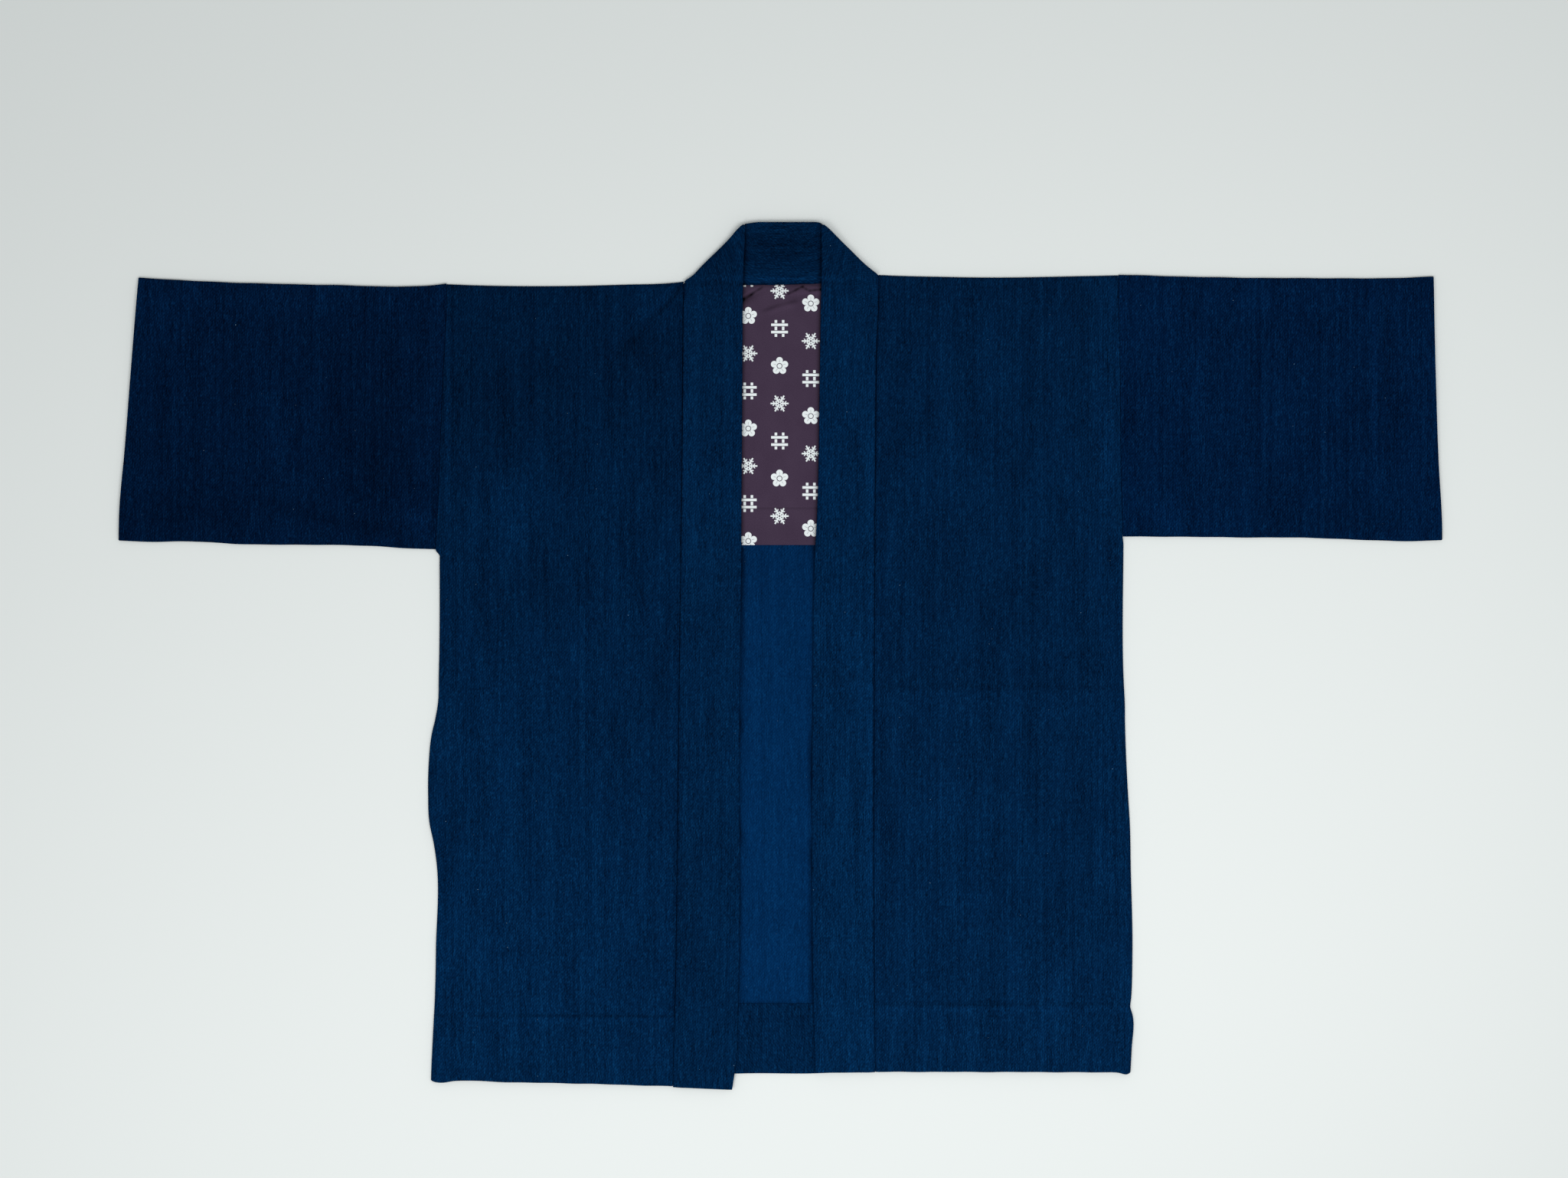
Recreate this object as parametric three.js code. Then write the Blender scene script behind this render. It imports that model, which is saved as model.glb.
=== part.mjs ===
// A hanten, the short straight Japanese work jacket, laid flat on a table with its front up.
// Its cloth is a heavy indigo cotton. The back lies on the table, the two fronts and the upper
// halves of the sleeves lie on it, and the collar band runs up one front edge, folds over at the
// neck corner, crosses behind the neck and folds down along the other front edge.
//
// Millimetres, +Z up. X runs from the wearer's right sleeve to the left one, Y from hem to neck.
// The origin is on the table, under the middle of the jacket's outline. "out" is a distance from
// the middle line towards either sleeve, and the columns right and left are the wearer's sides.

import * as THREE from "three";
import { mergeVertices } from "three/addons/utils/BufferGeometryUtils.js";

// ---------------------------------------------------------------- driving dimensions

const CLOTH = 1.2; // the indigo cotton of the body and the sleeves
const LINING = 1.0; // the thin printed cotton inside the shoulders
const BAND = 3.0; // the collar band: two layers over its turned-in seam edges
const GAP = 0.3; // air between pieces at a seam, and between layers that lie on each other
const HEM_LAYERS = 2 * CLOTH; // a turned-up hem is double
const FRONT_HEM = { right: 67, left: 68 }; // depth of the hem turned up inside each front
const BACK_HEM_TOP = -345; // where the back's turned-up hem ends inside
const SEAM_GAP = 0.4; // beside the collar, whose edge runs between other rows than the fronts'
const HEM_STEP = 3; // over this length a front's hem thins to one layer
const AIR = 0.3; // how far the fronts stand off the back where nothing lifts them
const EASE = 0.8; // how much further in the back's edge lies than the fronts' rolls need
const SLEEVE_HEIGHT = 3.0; // a flattened sleeve, both layers
const NECK_EDGE = 429.8; // the collar's folded edge behind the neck
const UNDERARM = { right: 105.3, left: 118 };

// The collar's seam to the front, and its folded free edge, down each front.
const BAND_SEAM = [
  { y: 378, right: 95.8, left: 97.3 },
  { y: 361, right: 95.8, left: 97.3 },
  { y: 316, right: 96.0, left: 95.0 },
  { y: 194, right: 97.0, left: 93.5 },
  { y: 42, right: 99.0, left: 92.7 },
  { y: -64, right: 100.3, left: 92.0 },
  { y: -262, right: 102.6, left: 92.0 },
  { y: -338, right: 103.8, left: 92.7 },
  { y: -399, right: 105.6, left: 93.5 },
  { y: -430, right: 106.4, left: 93.8 },
];
const BAND_EDGE = [
  { y: 361, right: 37.4, left: 40.3 },
  { y: 270, right: 37.8, left: 38.8 },
  { y: 148, right: 38.6, left: 36.5 },
  { y: 88, right: 38.9, left: 33.5 },
  { y: -34, right: 40.6, left: 32.0 },
  { y: -300, right: 41.0, left: 32.0 },
  { y: -368, right: 42.6, left: 33.3 },
  { y: -399, right: 43.6, left: 34.2 },
  { y: -430, right: 47.9, left: 34.8 },
];

// The collar's fold at each neck corner runs from the shoulder up to the neck edge.
const NECK_CORNER = {
  right: { shoulderOut: 95.8, shoulderY: 371.3, neckOut: 38.8 },
  left: { shoulderOut: 97.3, shoulderY: 378.1, neckOut: 44.8 },
};

// The seam of the collar across the back of the neck, which dips between the shoulders.
const NECK_SEAM = [
  { x: -96, y: 371.0 },
  { x: -60, y: 368.2 },
  { x: -38, y: 367.5 },
  { x: 10, y: 367.7 },
  { x: 40, y: 369.0 },
  { x: 70, y: 372.5 },
  { x: 98, y: 377.8 },
];

// The fold along the top of each shoulder, and the lower edge of each front.
const SHOULDER = [
  { out: 93, right: 371.4, left: 378.0 },
  { out: 109, right: 369.7, left: 377.2 },
  { out: 154, right: 368.2, left: 376.0 },
  { out: 210, right: 366.8, left: 375.2 },
  { out: 300, right: 367.4, left: 376.6 },
  { out: 345, right: 369.2, left: 377.6 },
];
const FRONT_EDGE = [
  { out: 92, right: -427.2, left: -412.4 },
  { out: 200, right: -423.9, left: -412.4 },
  { out: 290, right: -421.8, left: -412.6 },
  { out: 336, right: -423.4, left: -413.0 },
  { out: 350, right: -421.0, left: -413.4 },
];
const BAND_END = { right: -429.8, left: -413.0 }; // the lower end of the collar's free edge

// The folded side of the body, below the underarm, and the seam of the sleeve above it.
const SIDE = [
  { y: 118, right: 338.2, left: 340.5 },
  { y: -20, right: 339.2, left: 340.5 },
  { y: -50, right: 340.2, left: 341.9 },
  { y: -65, right: 342.8, left: 342.0 },
  { y: -80, right: 346.2, left: 342.4 },
  { y: -110, right: 349.2, left: 343.6 },
  { y: -140, right: 349.8, left: 345.2 },
  { y: -170, right: 348.2, left: 347.0 },
  { y: -186, right: 344.6, left: 347.4 },
  { y: -202, right: 342.0, left: 347.6 },
  { y: -293, right: 342.0, left: 349.4 },
  { y: -338, right: 343.0, left: 348.2 },
  { y: -355, right: 343.8, left: 349.4 },
  { y: -390, right: 345.6, left: 348.4 },
  { y: -425, right: 347.0, left: 346.0 },
];
const ARMHOLE = [
  { y: 380, right: 331.0, left: 335.2 },
  { y: 335, right: 331.6, left: 335.4 },
  { y: 297, right: 333.6, left: 336.6 },
  { y: 232, right: 336.6, left: 337.2 },
  { y: 164, right: 339.0, left: 338.2 },
  { y: 105, right: 342.2, left: 340.0 },
];

// The sleeve's folded top, its underarm edge, and its open end.
const SLEEVE_TOP = [
  { out: 330, right: 369.4, left: 378.0 },
  { out: 352, right: 366.8, left: 377.4 },
  { out: 378, right: 366.2, left: 376.6 },
  { out: 440, right: 367.6, left: 375.2 },
  { out: 534, right: 369.8, left: 374.4 },
  { out: 625, right: 374.2, left: 375.0 },
  { out: 660, right: 376.4, left: 376.8 },
];
const SLEEVE_UNDER = [
  { out: 330, right: 105.5, left: 118.4 },
  { out: 367, right: 106.2, left: 118.0 },
  { out: 397, right: 108.4, left: 118.0 },
  { out: 443, right: 109.8, left: 117.4 },
  { out: 534, right: 110.6, left: 116.6 },
  { out: 636, right: 113.2, left: 114.6 },
  { out: 660, right: 114.6, left: 115.8 },
];
const CUFF = [
  { y: 376, right: 636.2, left: 648.0 },
  { y: 285, right: 643.6, left: 649.8 },
  { y: 195, right: 650.6, left: 652.8 },
  { y: 130, right: 656.0, left: 656.3 },
  { y: 105, right: 656.6, left: 656.6 },
];

// The lower edge of the back and the printed lining's place, which the collar covers at its sides.
const BACK_EDGE = [
  { x: -350, y: -420.6 },
  { x: -200, y: -417.0 },
  { x: -48, y: -413.8 },
  { x: 32, y: -413.0 },
  { x: 350, y: -413.0 },
];
const LINING_PLACE = { right: -60, left: 56, top: 366.8, bottom: 109.8 };

// Soft swellings of the fronts: where each runs, and how wide and how high it is.
const SWELLINGS = [
  { side: "right", out: [100, 146], y: [364, 316], width: 11, height: 1.3 },
  { side: "right", out: [338, 340], y: [-80, -180], width: 26, height: 1.6 },
  { side: "left", out: [336, 338], y: [60, -60], width: 20, height: 0.8 },
];

const INDIGO = new THREE.Color(0x16304f);
const INDIGO_INSIDE = new THREE.Color(0x1b3e66);
const PLUM = new THREE.Color(0x41303f);

// ---------------------------------------------------------------- reading the tables

// The value of one column of a table at a place between its rows, along the column `by`.
function read(table, by, column, at) {
  const rising = table[0][by] < table[table.length - 1][by];
  const rows = rising ? table : [...table].reverse();
  const next = rows.findIndex((row) => row[by] >= at);
  if (next === 0) return rows[0][column];
  if (next < 0) return rows[rows.length - 1][column];
  const share = (at - rows[next - 1][by]) / (rows[next][by] - rows[next - 1][by]);
  return THREE.MathUtils.lerp(rows[next - 1][column], rows[next][column], share);
}

// Evenly spaced numbers from one to another, both included.
function steps(from, to, count) {
  return Array.from({ length: count + 1 }, (_, k) => from + ((to - from) * k) / count);
}

// ---------------------------------------------------------------- closed cloth

// One closed solid between two grids of points, outer face and inner face, row by row. With
// `round` the last row joins the first, as in a tube. Otherwise the rows' ends are closed.
function closedCloth(name, outer, inner, { color, round = false, mirrored = false }) {
  const rows = outer.length;
  const columns = outer[0].length;
  const points = [...outer.flat(), ...inner.flat()];
  const outside = (j, i) => (j % rows) * columns + i;
  const inside = (j, i) => rows * columns + outside(j, i);
  const corners = [];
  const quad = (a, b, c, d) => corners.push(a, b, c, a, c, d);
  const last = columns - 1;
  for (let j = 0; j < (round ? rows : rows - 1); j++) {
    for (let i = 0; i < last; i++) {
      quad(outside(j, i), outside(j, i + 1), outside(j + 1, i + 1), outside(j + 1, i));
      quad(inside(j, i), inside(j + 1, i), inside(j + 1, i + 1), inside(j, i + 1));
    }
    quad(outside(j, 0), outside(j + 1, 0), inside(j + 1, 0), inside(j, 0));
    quad(outside(j, last), inside(j, last), inside(j + 1, last), outside(j + 1, last));
  }
  if (!round) {
    const end = rows - 1;
    for (let i = 0; i < last; i++) {
      quad(outside(0, i), inside(0, i), inside(0, i + 1), outside(0, i + 1));
      quad(outside(end, i), outside(end, i + 1), inside(end, i + 1), inside(end, i));
    }
  }
  if (mirrored) {
    for (const point of points) point.x = -point.x;
    corners.reverse();
  }
  const geometry = new THREE.BufferGeometry().setFromPoints(points);
  geometry.setIndex(corners);
  const closed = mergeVertices(geometry, 1e-3);
  closed.computeVertexNormals();
  const finish = new THREE.MeshStandardMaterial({ color, roughness: 0.9, metalness: 0 });
  const mesh = new THREE.Mesh(closed, finish);
  mesh.name = name;
  return mesh;
}

// The inner face of a wall: each point of the outer face moved inwards, square to the cloth, and
// never below the table.
function innerFace(outer, thickness, round = false) {
  const rows = outer.length;
  const columns = outer[0].length;
  const clamp = THREE.MathUtils.clamp;
  const at = (j, i) => {
    const row = round ? (j + rows) % rows : clamp(j, 0, rows - 1);
    return outer[row][clamp(i, 0, columns - 1)];
  };
  return outer.map((row, j) =>
    row.map((point, i) => {
      const across = at(j, i + 1).clone().sub(at(j, i - 1));
      const along = at(j + 1, i).clone().sub(at(j - 1, i));
      const outward = across.cross(along).normalize();
      const moved = point.clone().addScaledVector(outward, -thickness(j, i));
      moved.z = Math.max(moved.z, 0);
      return moved;
    }),
  );
}

// ---------------------------------------------------------------- the fronts

// How high a swelling lifts the cloth at a place.
function swelling(side, out, y) {
  let lift = 0;
  for (const fold of SWELLINGS.filter((one) => one.side === side)) {
    const run = new THREE.Vector2(fold.out[1] - fold.out[0], fold.y[1] - fold.y[0]);
    const from = new THREE.Vector2(out - fold.out[0], y - fold.y[0]);
    const share = THREE.MathUtils.clamp(from.dot(run) / run.lengthSq(), 0, 1);
    const away = from.sub(run.multiplyScalar(share)).length() / fold.width;
    lift += fold.height * Math.exp(-away * away);
  }
  return lift;
}

// The height of a front's underside, which climbs over the back's turned-up hem.
function underFront(side, out, y) {
  const overHem = 1 - THREE.MathUtils.smoothstep(y, BACK_HEM_TOP + 2, BACK_HEM_TOP + 24);
  const back = THREE.MathUtils.lerp(CLOTH, HEM_LAYERS, overHem);
  return back + GAP + AIR * (1 - overHem) + swelling(side, out, y);
}

// The thickness of a front, double over its own turned-up hem.
function frontLayers(side, y) {
  const hemTop = read(FRONT_EDGE, "out", side, 200) + FRONT_HEM[side];
  const single = THREE.MathUtils.smoothstep(y, hemTop, hemTop + HEM_STEP);
  return THREE.MathUtils.lerp(HEM_LAYERS, CLOTH, single);
}

// Where a quarter turn down to the table is cut into flat strips.
const ROLL = [0.25, 0.5, 0.75, 1].map((share) => (share * Math.PI) / 2);

// A front lies on the back from the collar's seam to the side. At the shoulder, and at the side
// below the underarm, it rolls over the back's edge down to the table. A row of its points has a
// level between hem and shoulder, which the slants of the hem and the shoulder then shift.
function front(side) {
  const hem = read(FRONT_EDGE, "out", side, 200);
  const shoulder = read(SHOULDER, "out", side, 200);
  const hemTop = hem + FRONT_HEM[side];
  const armpit = UNDERARM[side] - 2; // the lowest row that the sleeve is sewn to
  const levels = [
    ...steps(hem, hemTop, 3),
    hemTop + HEM_STEP,
    ...steps(hemTop + 22, armpit - 5, 14),
    armpit,
    ...steps(armpit + 26, shoulder - 8, 7),
  ];

  // One point: its share of the way across, and how far round the side's roll it is.
  const place = (level, share, sideAngle) => {
    const sewn = level >= armpit;
    const seam = read(BAND_SEAM, "y", side, level) + SEAM_GAP;
    const edge = sewn
      ? read(ARMHOLE, "y", side, level) - GAP / 2
      : read(SIDE, "y", side, level);
    const nearby = THREE.MathUtils.lerp(seam, edge, share);
    const height = underFront(side, nearby, level) + frontLayers(side, level);
    const turned = sewn ? sideAngle / ROLL[3] : Math.sin(sideAngle);
    const out = THREE.MathUtils.lerp(seam, edge - height, share) + height * turned;
    const hemShift = read(FRONT_EDGE, "out", side, out) - hem;
    const shoulderShift = read(SHOULDER, "out", side, out) - shoulder;
    const up = (level - hem) / (shoulder - hem);
    const y = level + THREE.MathUtils.lerp(hemShift, shoulderShift, up);
    return new THREE.Vector3(out, y, sewn ? height : height * Math.cos(sideAngle));
  };
  const row = (level) => [
    ...steps(0, 1, 11).map((share) => place(level, share, 0)),
    ...ROLL.map((angle) => place(level, 1, angle)),
  ];
  const overShoulder = (angle) =>
    row(shoulder).map(({ x, z }) => {
      const fold = read(SHOULDER, "out", side, x);
      return new THREE.Vector3(x, fold - z * (1 - Math.sin(angle)), z * Math.cos(angle));
    });
  const outer = [...levels.map(row), ...[0, ...ROLL].map(overShoulder)];
  const inner = innerFace(outer, (j) => frontLayers(side, levels[j] ?? shoulder));
  return closedCloth(`front_${side}`, outer, inner, {
    color: INDIGO,
    mirrored: side === "right",
  });
}

// ---------------------------------------------------------------- the back

// How far the back's edge keeps inside the roll of a front that is `height` high there.
function insideRoll(height, frontThickness, backThickness) {
  const hollow = height - frontThickness;
  return height - Math.sqrt(hollow * hollow - backThickness * backThickness) + GAP + EASE;
}

// The back lies flat on the table, with its hem turned up on its inside. Its outer face is the
// one below, so its columns run from the wearer's left to the right.
function back() {
  const SEWN_FROM = 10; // above the underarm, where the sleeve's seam takes over from the side
  const layers = (y) => (y < BACK_HEM_TOP ? HEM_LAYERS : CLOTH);
  const hem = BACK_EDGE[2].y;
  const neck = NECK_SEAM[2].y;
  const neckRiseFrom = neck - 180; // above here the rows bend to the slant of the shoulders
  const levels = [
    ...steps(hem, BACK_HEM_TOP - 0.2, 3),
    BACK_HEM_TOP + 0.2,
    ...steps(BACK_HEM_TOP + 26, UNDERARM.right + SEWN_FROM - 2, 13),
    UNDERARM.right + SEWN_FROM + 2,
    UNDERARM.left + SEWN_FROM + 2,
    ...steps(UNDERARM.left + SEWN_FROM + 26, neck, 8),
  ];
  const sideAt = (side, y) => {
    if (y > UNDERARM[side] + SEWN_FROM) return read(ARMHOLE, "y", side, y) - GAP / 2;
    const edge = read(SIDE, "y", side, y);
    const height = underFront(side, edge, y) + frontLayers(side, y);
    return edge - insideRoll(height, frontLayers(side, y), layers(y));
  };
  const topAt = (x) => {
    const side = x < 0 ? "right" : "left";
    const height = CLOTH + GAP + AIR + CLOTH;
    const shoulder = read(SHOULDER, "out", side, Math.abs(x)) - insideRoll(height, CLOTH, CLOTH);
    const besideNeck = Math.abs(x) > NECK_CORNER[side].shoulderOut;
    return besideNeck ? shoulder : Math.min(shoulder, read(NECK_SEAM, "x", "y", x) - 2 * GAP);
  };
  const outer = levels.map((level) => {
    const low = Math.max(0, (BACK_HEM_TOP - level) / (BACK_HEM_TOP - hem));
    const high = Math.max(0, (level - neckRiseFrom) / (neck - neckRiseFrom));
    return steps(0, 1, 18).map((share) => {
      const x = THREE.MathUtils.lerp(sideAt("left", level), -sideAt("right", level), share);
      const hemShift = (read(BACK_EDGE, "x", "y", x) - hem) * low;
      const neckShift = (topAt(x) - neck) * high;
      return new THREE.Vector3(x, level + hemShift + neckShift, 0);
    });
  });
  const inner = outer.map((row, j) =>
    row.map((point) => new THREE.Vector3(point.x, point.y, layers(levels[j]))),
  );
  return closedCloth("back", outer, inner, { color: INDIGO_INSIDE });
}

// ---------------------------------------------------------------- the sleeves

// A sleeve is a tube pressed flat, open at the cuff and at the armhole. Its lines run from the
// armhole to the cuff, and follow each other round the tube: up its upper layer, round the folded
// edge, down its lower layer and round the underarm edge.
function sleeve(side) {
  const radius = SLEEVE_HEIGHT / 2;
  const flat = steps(0, 1, 7).slice(1, -1);
  const turn = steps(0, Math.PI, 4).map((angle) => ({
    past: radius * (1 - Math.sin(angle)),
    height: radius * (1 + Math.cos(angle)),
  }));
  const round = [
    ...flat.map((share) => ({ share, past: 0, height: SLEEVE_HEIGHT })),
    ...turn.map(({ past, height }) => ({ share: 1, past: -past, height })),
    ...flat.map((share) => ({ share: 1 - share, past: 0, height: 0 })),
    ...turn.reverse().map(({ past, height }) => ({ share: 0, past, height })),
  ];
  const outer = round.map(({ share, past, height }) =>
    steps(0, 1, 12).map((way) => {
      const level = THREE.MathUtils.lerp(UNDERARM[side], SLEEVE_TOP[1][side], share);
      const seam = read(ARMHOLE, "y", side, level) + GAP / 2;
      const out = THREE.MathUtils.lerp(seam, read(CUFF, "y", side, level), way);
      const under = read(SLEEVE_UNDER, "out", side, out);
      const top = read(SLEEVE_TOP, "out", side, out);
      return new THREE.Vector3(out, THREE.MathUtils.lerp(under, top, share) + past, height);
    }),
  );
  const inner = innerFace(outer, () => CLOTH, true);
  return closedCloth(`sleeve_${side}`, outer, inner, {
    color: INDIGO,
    round: true,
    mirrored: side === "right",
  });
}

// ---------------------------------------------------------------- the collar band

// The band's half thickness across its width, rounded at the seam and at the folded free edge.
const BAND_PROFILE = [
  { across: 0, half: 0.4 },
  { across: 0.012, half: 0.8 },
  { across: 0.04, half: 1 },
  { across: 0.3, half: 1 },
  { across: 0.65, half: 1 },
  { across: 0.955, half: 1 },
  { across: 0.985, half: 0.8 },
  { across: 1, half: 0.35 },
];

// The height of the band's middle above the table down a front: on the lining, then on the back,
// then on the back's hem.
function bandHeight(y) {
  const smooth = THREE.MathUtils.smoothstep;
  const lining = LINING_PLACE.bottom;
  const onLining = (LINING + GAP) * smooth(y, lining - 26, lining - 2);
  const onHem = (HEM_LAYERS - CLOTH) * (1 - smooth(y, BACK_HEM_TOP + 2, BACK_HEM_TOP + 20));
  return CLOTH + GAP + onLining + onHem + BAND / 2;
}

// One side's rulings, each a straight line across the band from seam to free edge, in order from
// the hem to the middle of the back of the neck. `facing` is the way the outer face looks there.
function rulings(side) {
  const corner = NECK_CORNER[side];
  const sign = side === "right" ? -1 : 1;
  const up = new THREE.Vector3(0, 0, 1);
  const list = [];
  const add = (seamOut, seamY, edgeOut, edgeY, height, facing = up) => {
    const seam = new THREE.Vector3(seamOut, seamY, height);
    const edge = new THREE.Vector3(edgeOut, edgeY, height);
    list.push({ seam, edge, facing: facing.clone() });
  };

  // Down the front. The lower end slants a little, from the free edge to the seam.
  const FOLD_FROM = 345;
  const SLANT_LENGTH = 66;
  const hem = BAND_END[side];
  const endSlant = read(FRONT_EDGE, "out", side, 92) - hem;
  const levels = [
    ...steps(hem, hem + SLANT_LENGTH, 3),
    ...steps(hem + SLANT_LENGTH + 24, LINING_PLACE.bottom - 26, 9),
    LINING_PLACE.bottom - 2,
    ...steps(LINING_PLACE.bottom + 30, FOLD_FROM, 5),
  ];
  for (const level of levels) {
    const slant = endSlant * Math.max(0, 1 - (level - hem) / SLANT_LENGTH);
    const seam = read(BAND_SEAM, "y", side, level);
    const edge = read(BAND_EDGE, "y", side, level);
    add(seam, level + slant, edge, level, bandHeight(level));
  }

  // The lines across the band turn to the slant of the fold, above the band behind the neck.
  const lower = BAND / 2;
  const bend = (BAND + GAP) / 2;
  const upper = lower + 2 * bend;
  const foldLow = new THREE.Vector3(corner.shoulderOut, corner.shoulderY, lower + bend);
  const foldHigh = new THREE.Vector3(corner.neckOut, NECK_EDGE, lower + bend);
  const outward = foldHigh.clone().sub(foldLow).cross(up).normalize();
  foldLow.addScaledVector(outward, -bend - BAND / 2);
  foldHigh.addScaledVector(outward, -bend - BAND / 2);
  const before = list[list.length - 1];
  for (const share of steps(0, 1, 5).slice(1, -1)) {
    const seam = before.seam.clone().lerp(foldLow, share);
    const edge = before.edge.clone().lerp(foldHigh, share);
    add(seam.x, seam.y, edge.x, edge.y, upper);
  }

  // Round the fold, from the upper layer to the lower one.
  for (const angle of steps(0, Math.PI, 8)) {
    const facing = up.clone().multiplyScalar(Math.cos(angle));
    facing.addScaledVector(outward, Math.sin(angle));
    const seam = foldLow.clone().addScaledVector(facing, bend);
    const edge = foldHigh.clone().addScaledVector(facing, bend);
    list.push({ seam, edge, facing });
  }

  // Behind the neck the lines turn square to the band again, with the outer face down.
  const SQUARE_AT = 20;
  const down = up.clone().negate();
  for (const share of steps(0, 1, 5).slice(1)) {
    const seamOut = THREE.MathUtils.lerp(foldLow.x, SQUARE_AT, share);
    const edgeOut = THREE.MathUtils.lerp(foldHigh.x, SQUARE_AT, share);
    const seamY = read(NECK_SEAM, "x", "y", sign * seamOut);
    add(seamOut, seamY, edgeOut, NECK_EDGE, lower, down);
  }
  for (const { seam, edge, facing } of list) {
    for (const vector of [seam, edge, facing]) vector.x *= sign;
  }
  return list;
}

function collar() {
  const all = [...rulings("right"), ...rulings("left").reverse()];
  const face = (way) =>
    all.map(({ seam, edge, facing }) =>
      BAND_PROFILE.map(({ across, half }) =>
        seam
          .clone()
          .lerp(edge, across)
          .addScaledVector(facing, (way * half * BAND) / 2),
      ),
    );
  return closedCloth("collar", face(1), face(-1), { color: INDIGO });
}

// ---------------------------------------------------------------- the lining

// The printed lining of the shoulders, on the back, where it shows between the collar's edges.
function lining() {
  const { right, left, top, bottom } = LINING_PLACE;
  const height = CLOTH + GAP + LINING;
  const outer = steps(0, 1, 8).map((up) =>
    steps(right, left, 5).map((x) => {
      const seam = Math.min(read(NECK_SEAM, "x", "y", x) - GAP - 0.2, top);
      return new THREE.Vector3(x, THREE.MathUtils.lerp(bottom, seam, up), height);
    }),
  );
  const inner = innerFace(outer, () => LINING);
  return closedCloth("yoke_lining", outer, inner, { color: PLUM });
}

// ---------------------------------------------------------------- the jacket

const group = new THREE.Group();
group.name = "hanten_jacket";
group.add(back());
group.add(lining());
for (const side of ["right", "left"]) group.add(front(side), sleeve(side));
group.add(collar());

export default group;
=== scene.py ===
# A hanten, the short straight Japanese work jacket, in heavy indigo cotton, laid flat on a table
# with its front up. Metres, +Z up, and millimetres in the tables; X runs from the wearer's right
# sleeve to the left one and Y from hem to neck. "out" is a distance from the middle line towards
# either sleeve.
from functools import partial

import bmesh
import bpy
import numpy as np
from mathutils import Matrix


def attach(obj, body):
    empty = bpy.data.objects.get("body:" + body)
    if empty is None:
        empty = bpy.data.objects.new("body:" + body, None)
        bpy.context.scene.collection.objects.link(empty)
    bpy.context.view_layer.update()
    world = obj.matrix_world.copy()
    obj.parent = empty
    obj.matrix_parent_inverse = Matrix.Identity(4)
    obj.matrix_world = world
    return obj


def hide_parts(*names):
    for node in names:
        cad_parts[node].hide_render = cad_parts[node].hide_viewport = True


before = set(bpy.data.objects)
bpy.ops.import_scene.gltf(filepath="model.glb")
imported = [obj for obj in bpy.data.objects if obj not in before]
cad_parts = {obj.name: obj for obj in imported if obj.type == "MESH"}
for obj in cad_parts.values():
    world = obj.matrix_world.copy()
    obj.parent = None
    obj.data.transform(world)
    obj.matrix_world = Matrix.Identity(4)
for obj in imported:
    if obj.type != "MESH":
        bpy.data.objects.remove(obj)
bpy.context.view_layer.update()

# -------- the back
# One wide panel of heavy indigo cotton twill from side to side, with its outer face on the
# table. Its lower edge is turned up on the inside and hemmed by hand with small blind stitches,
# and its inside shows between the two edges of the collar, below the lining.

LAYER = 0.0012  # the height that one layer of cotton takes in the stack
CLOTH = 0.0007  # the cotton itself
GAP = 0.0003  # between two walls of cloth
AIR = 0.0003  # how far the fronts stand off the back where nothing lifts them
EASE = 0.0008  # how much further in the back's edge lies than the fronts' rolls need
HEM_ROLL = LAYER - CLOTH / 2  # radius of a hem's fold, at the middle of the cloth
BACK_HEM_TOP = -0.345
HEM_STITCH = 0.0057  # from one blind stitch of a hem to the next
STITCH_IN = 0.0012  # from the upper edge of a hem to its stitches
BAND_SHADOW = 0.62  # how dark the cloth is right beside the collar's inner edges
UNDERARM = {"right": 0.1053, "left": 0.118}
WAY_OUT = {"right": -1, "left": 1}


def table(names, *rows):
    """A short table written in millimetres, as named columns in metres. Shares and amounts have
    no unit."""
    columns = dict(zip(names.split(), np.array(rows, float).T))
    for name in columns.keys() - {"share", "amount"}:
        columns[name] = columns[name] / 1000
    return columns


# Lines where the cloth is creased, lines where it is painted lighter or darker, mostly the painted shade
# and highlights of creases, and such spots.
creases = partial(table, "out0 y0 out1 y1 width height bow")
streaks = partial(table, "out0 y0 out1 y1 width amount bow")
spots = partial(table, "out y half_width half_height amount")


BACK_EDGE = table(
    "x y",
    (-350, -420.6), (-200, -417), (-48, -414.6), (-30, -414.2), (32, -414.3), (60, -413.2), (350, -413),
)
SIDE = table(
    "y right left",
    (118, 338.2, 340.5), (-20, 339.2, 340.5), (-50, 340.2, 341.9), (-65, 342.8, 342), (-80, 346.2, 342.4),
    (-110, 349.2, 343.6), (-140, 349.8, 345.2), (-170, 348.2, 347), (-186, 344.6, 347.4),
    (-202, 342, 347.6), (-293, 342, 349.4), (-338, 343, 348.2), (-348, 343.4, 347.4), (-355, 343.8, 349.4),
    (-390, 345.6, 348.6), (-412, 346.6, 347.4), (-425, 347, 346.8),
)
ARMHOLE = table(
    "y right left",
    (380, 331, 335.2), (335, 331.6, 335.4), (297, 333.6, 336.6), (232, 336.6, 337.2), (164, 339, 338.2),
    (105, 342.2, 340),
)
SHOULDER = table(
    "out right left",
    (93, 371.4, 378), (109, 369.7, 377.2), (154, 368.2, 376), (210, 366.8, 375.2), (300, 367.4, 376.6),
    (345, 369.2, 377.6),
)
NECK_SEAM = table(
    "x y",
    (-96, 371), (-60, 368.2), (-38, 367.5), (10, 367.7), (40, 369), (70, 372.5), (98, 377.8),
)
SHOULDER_OUT = {"right": 0.0958, "left": 0.0973}  # where the collar's fold meets the shoulder

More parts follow.
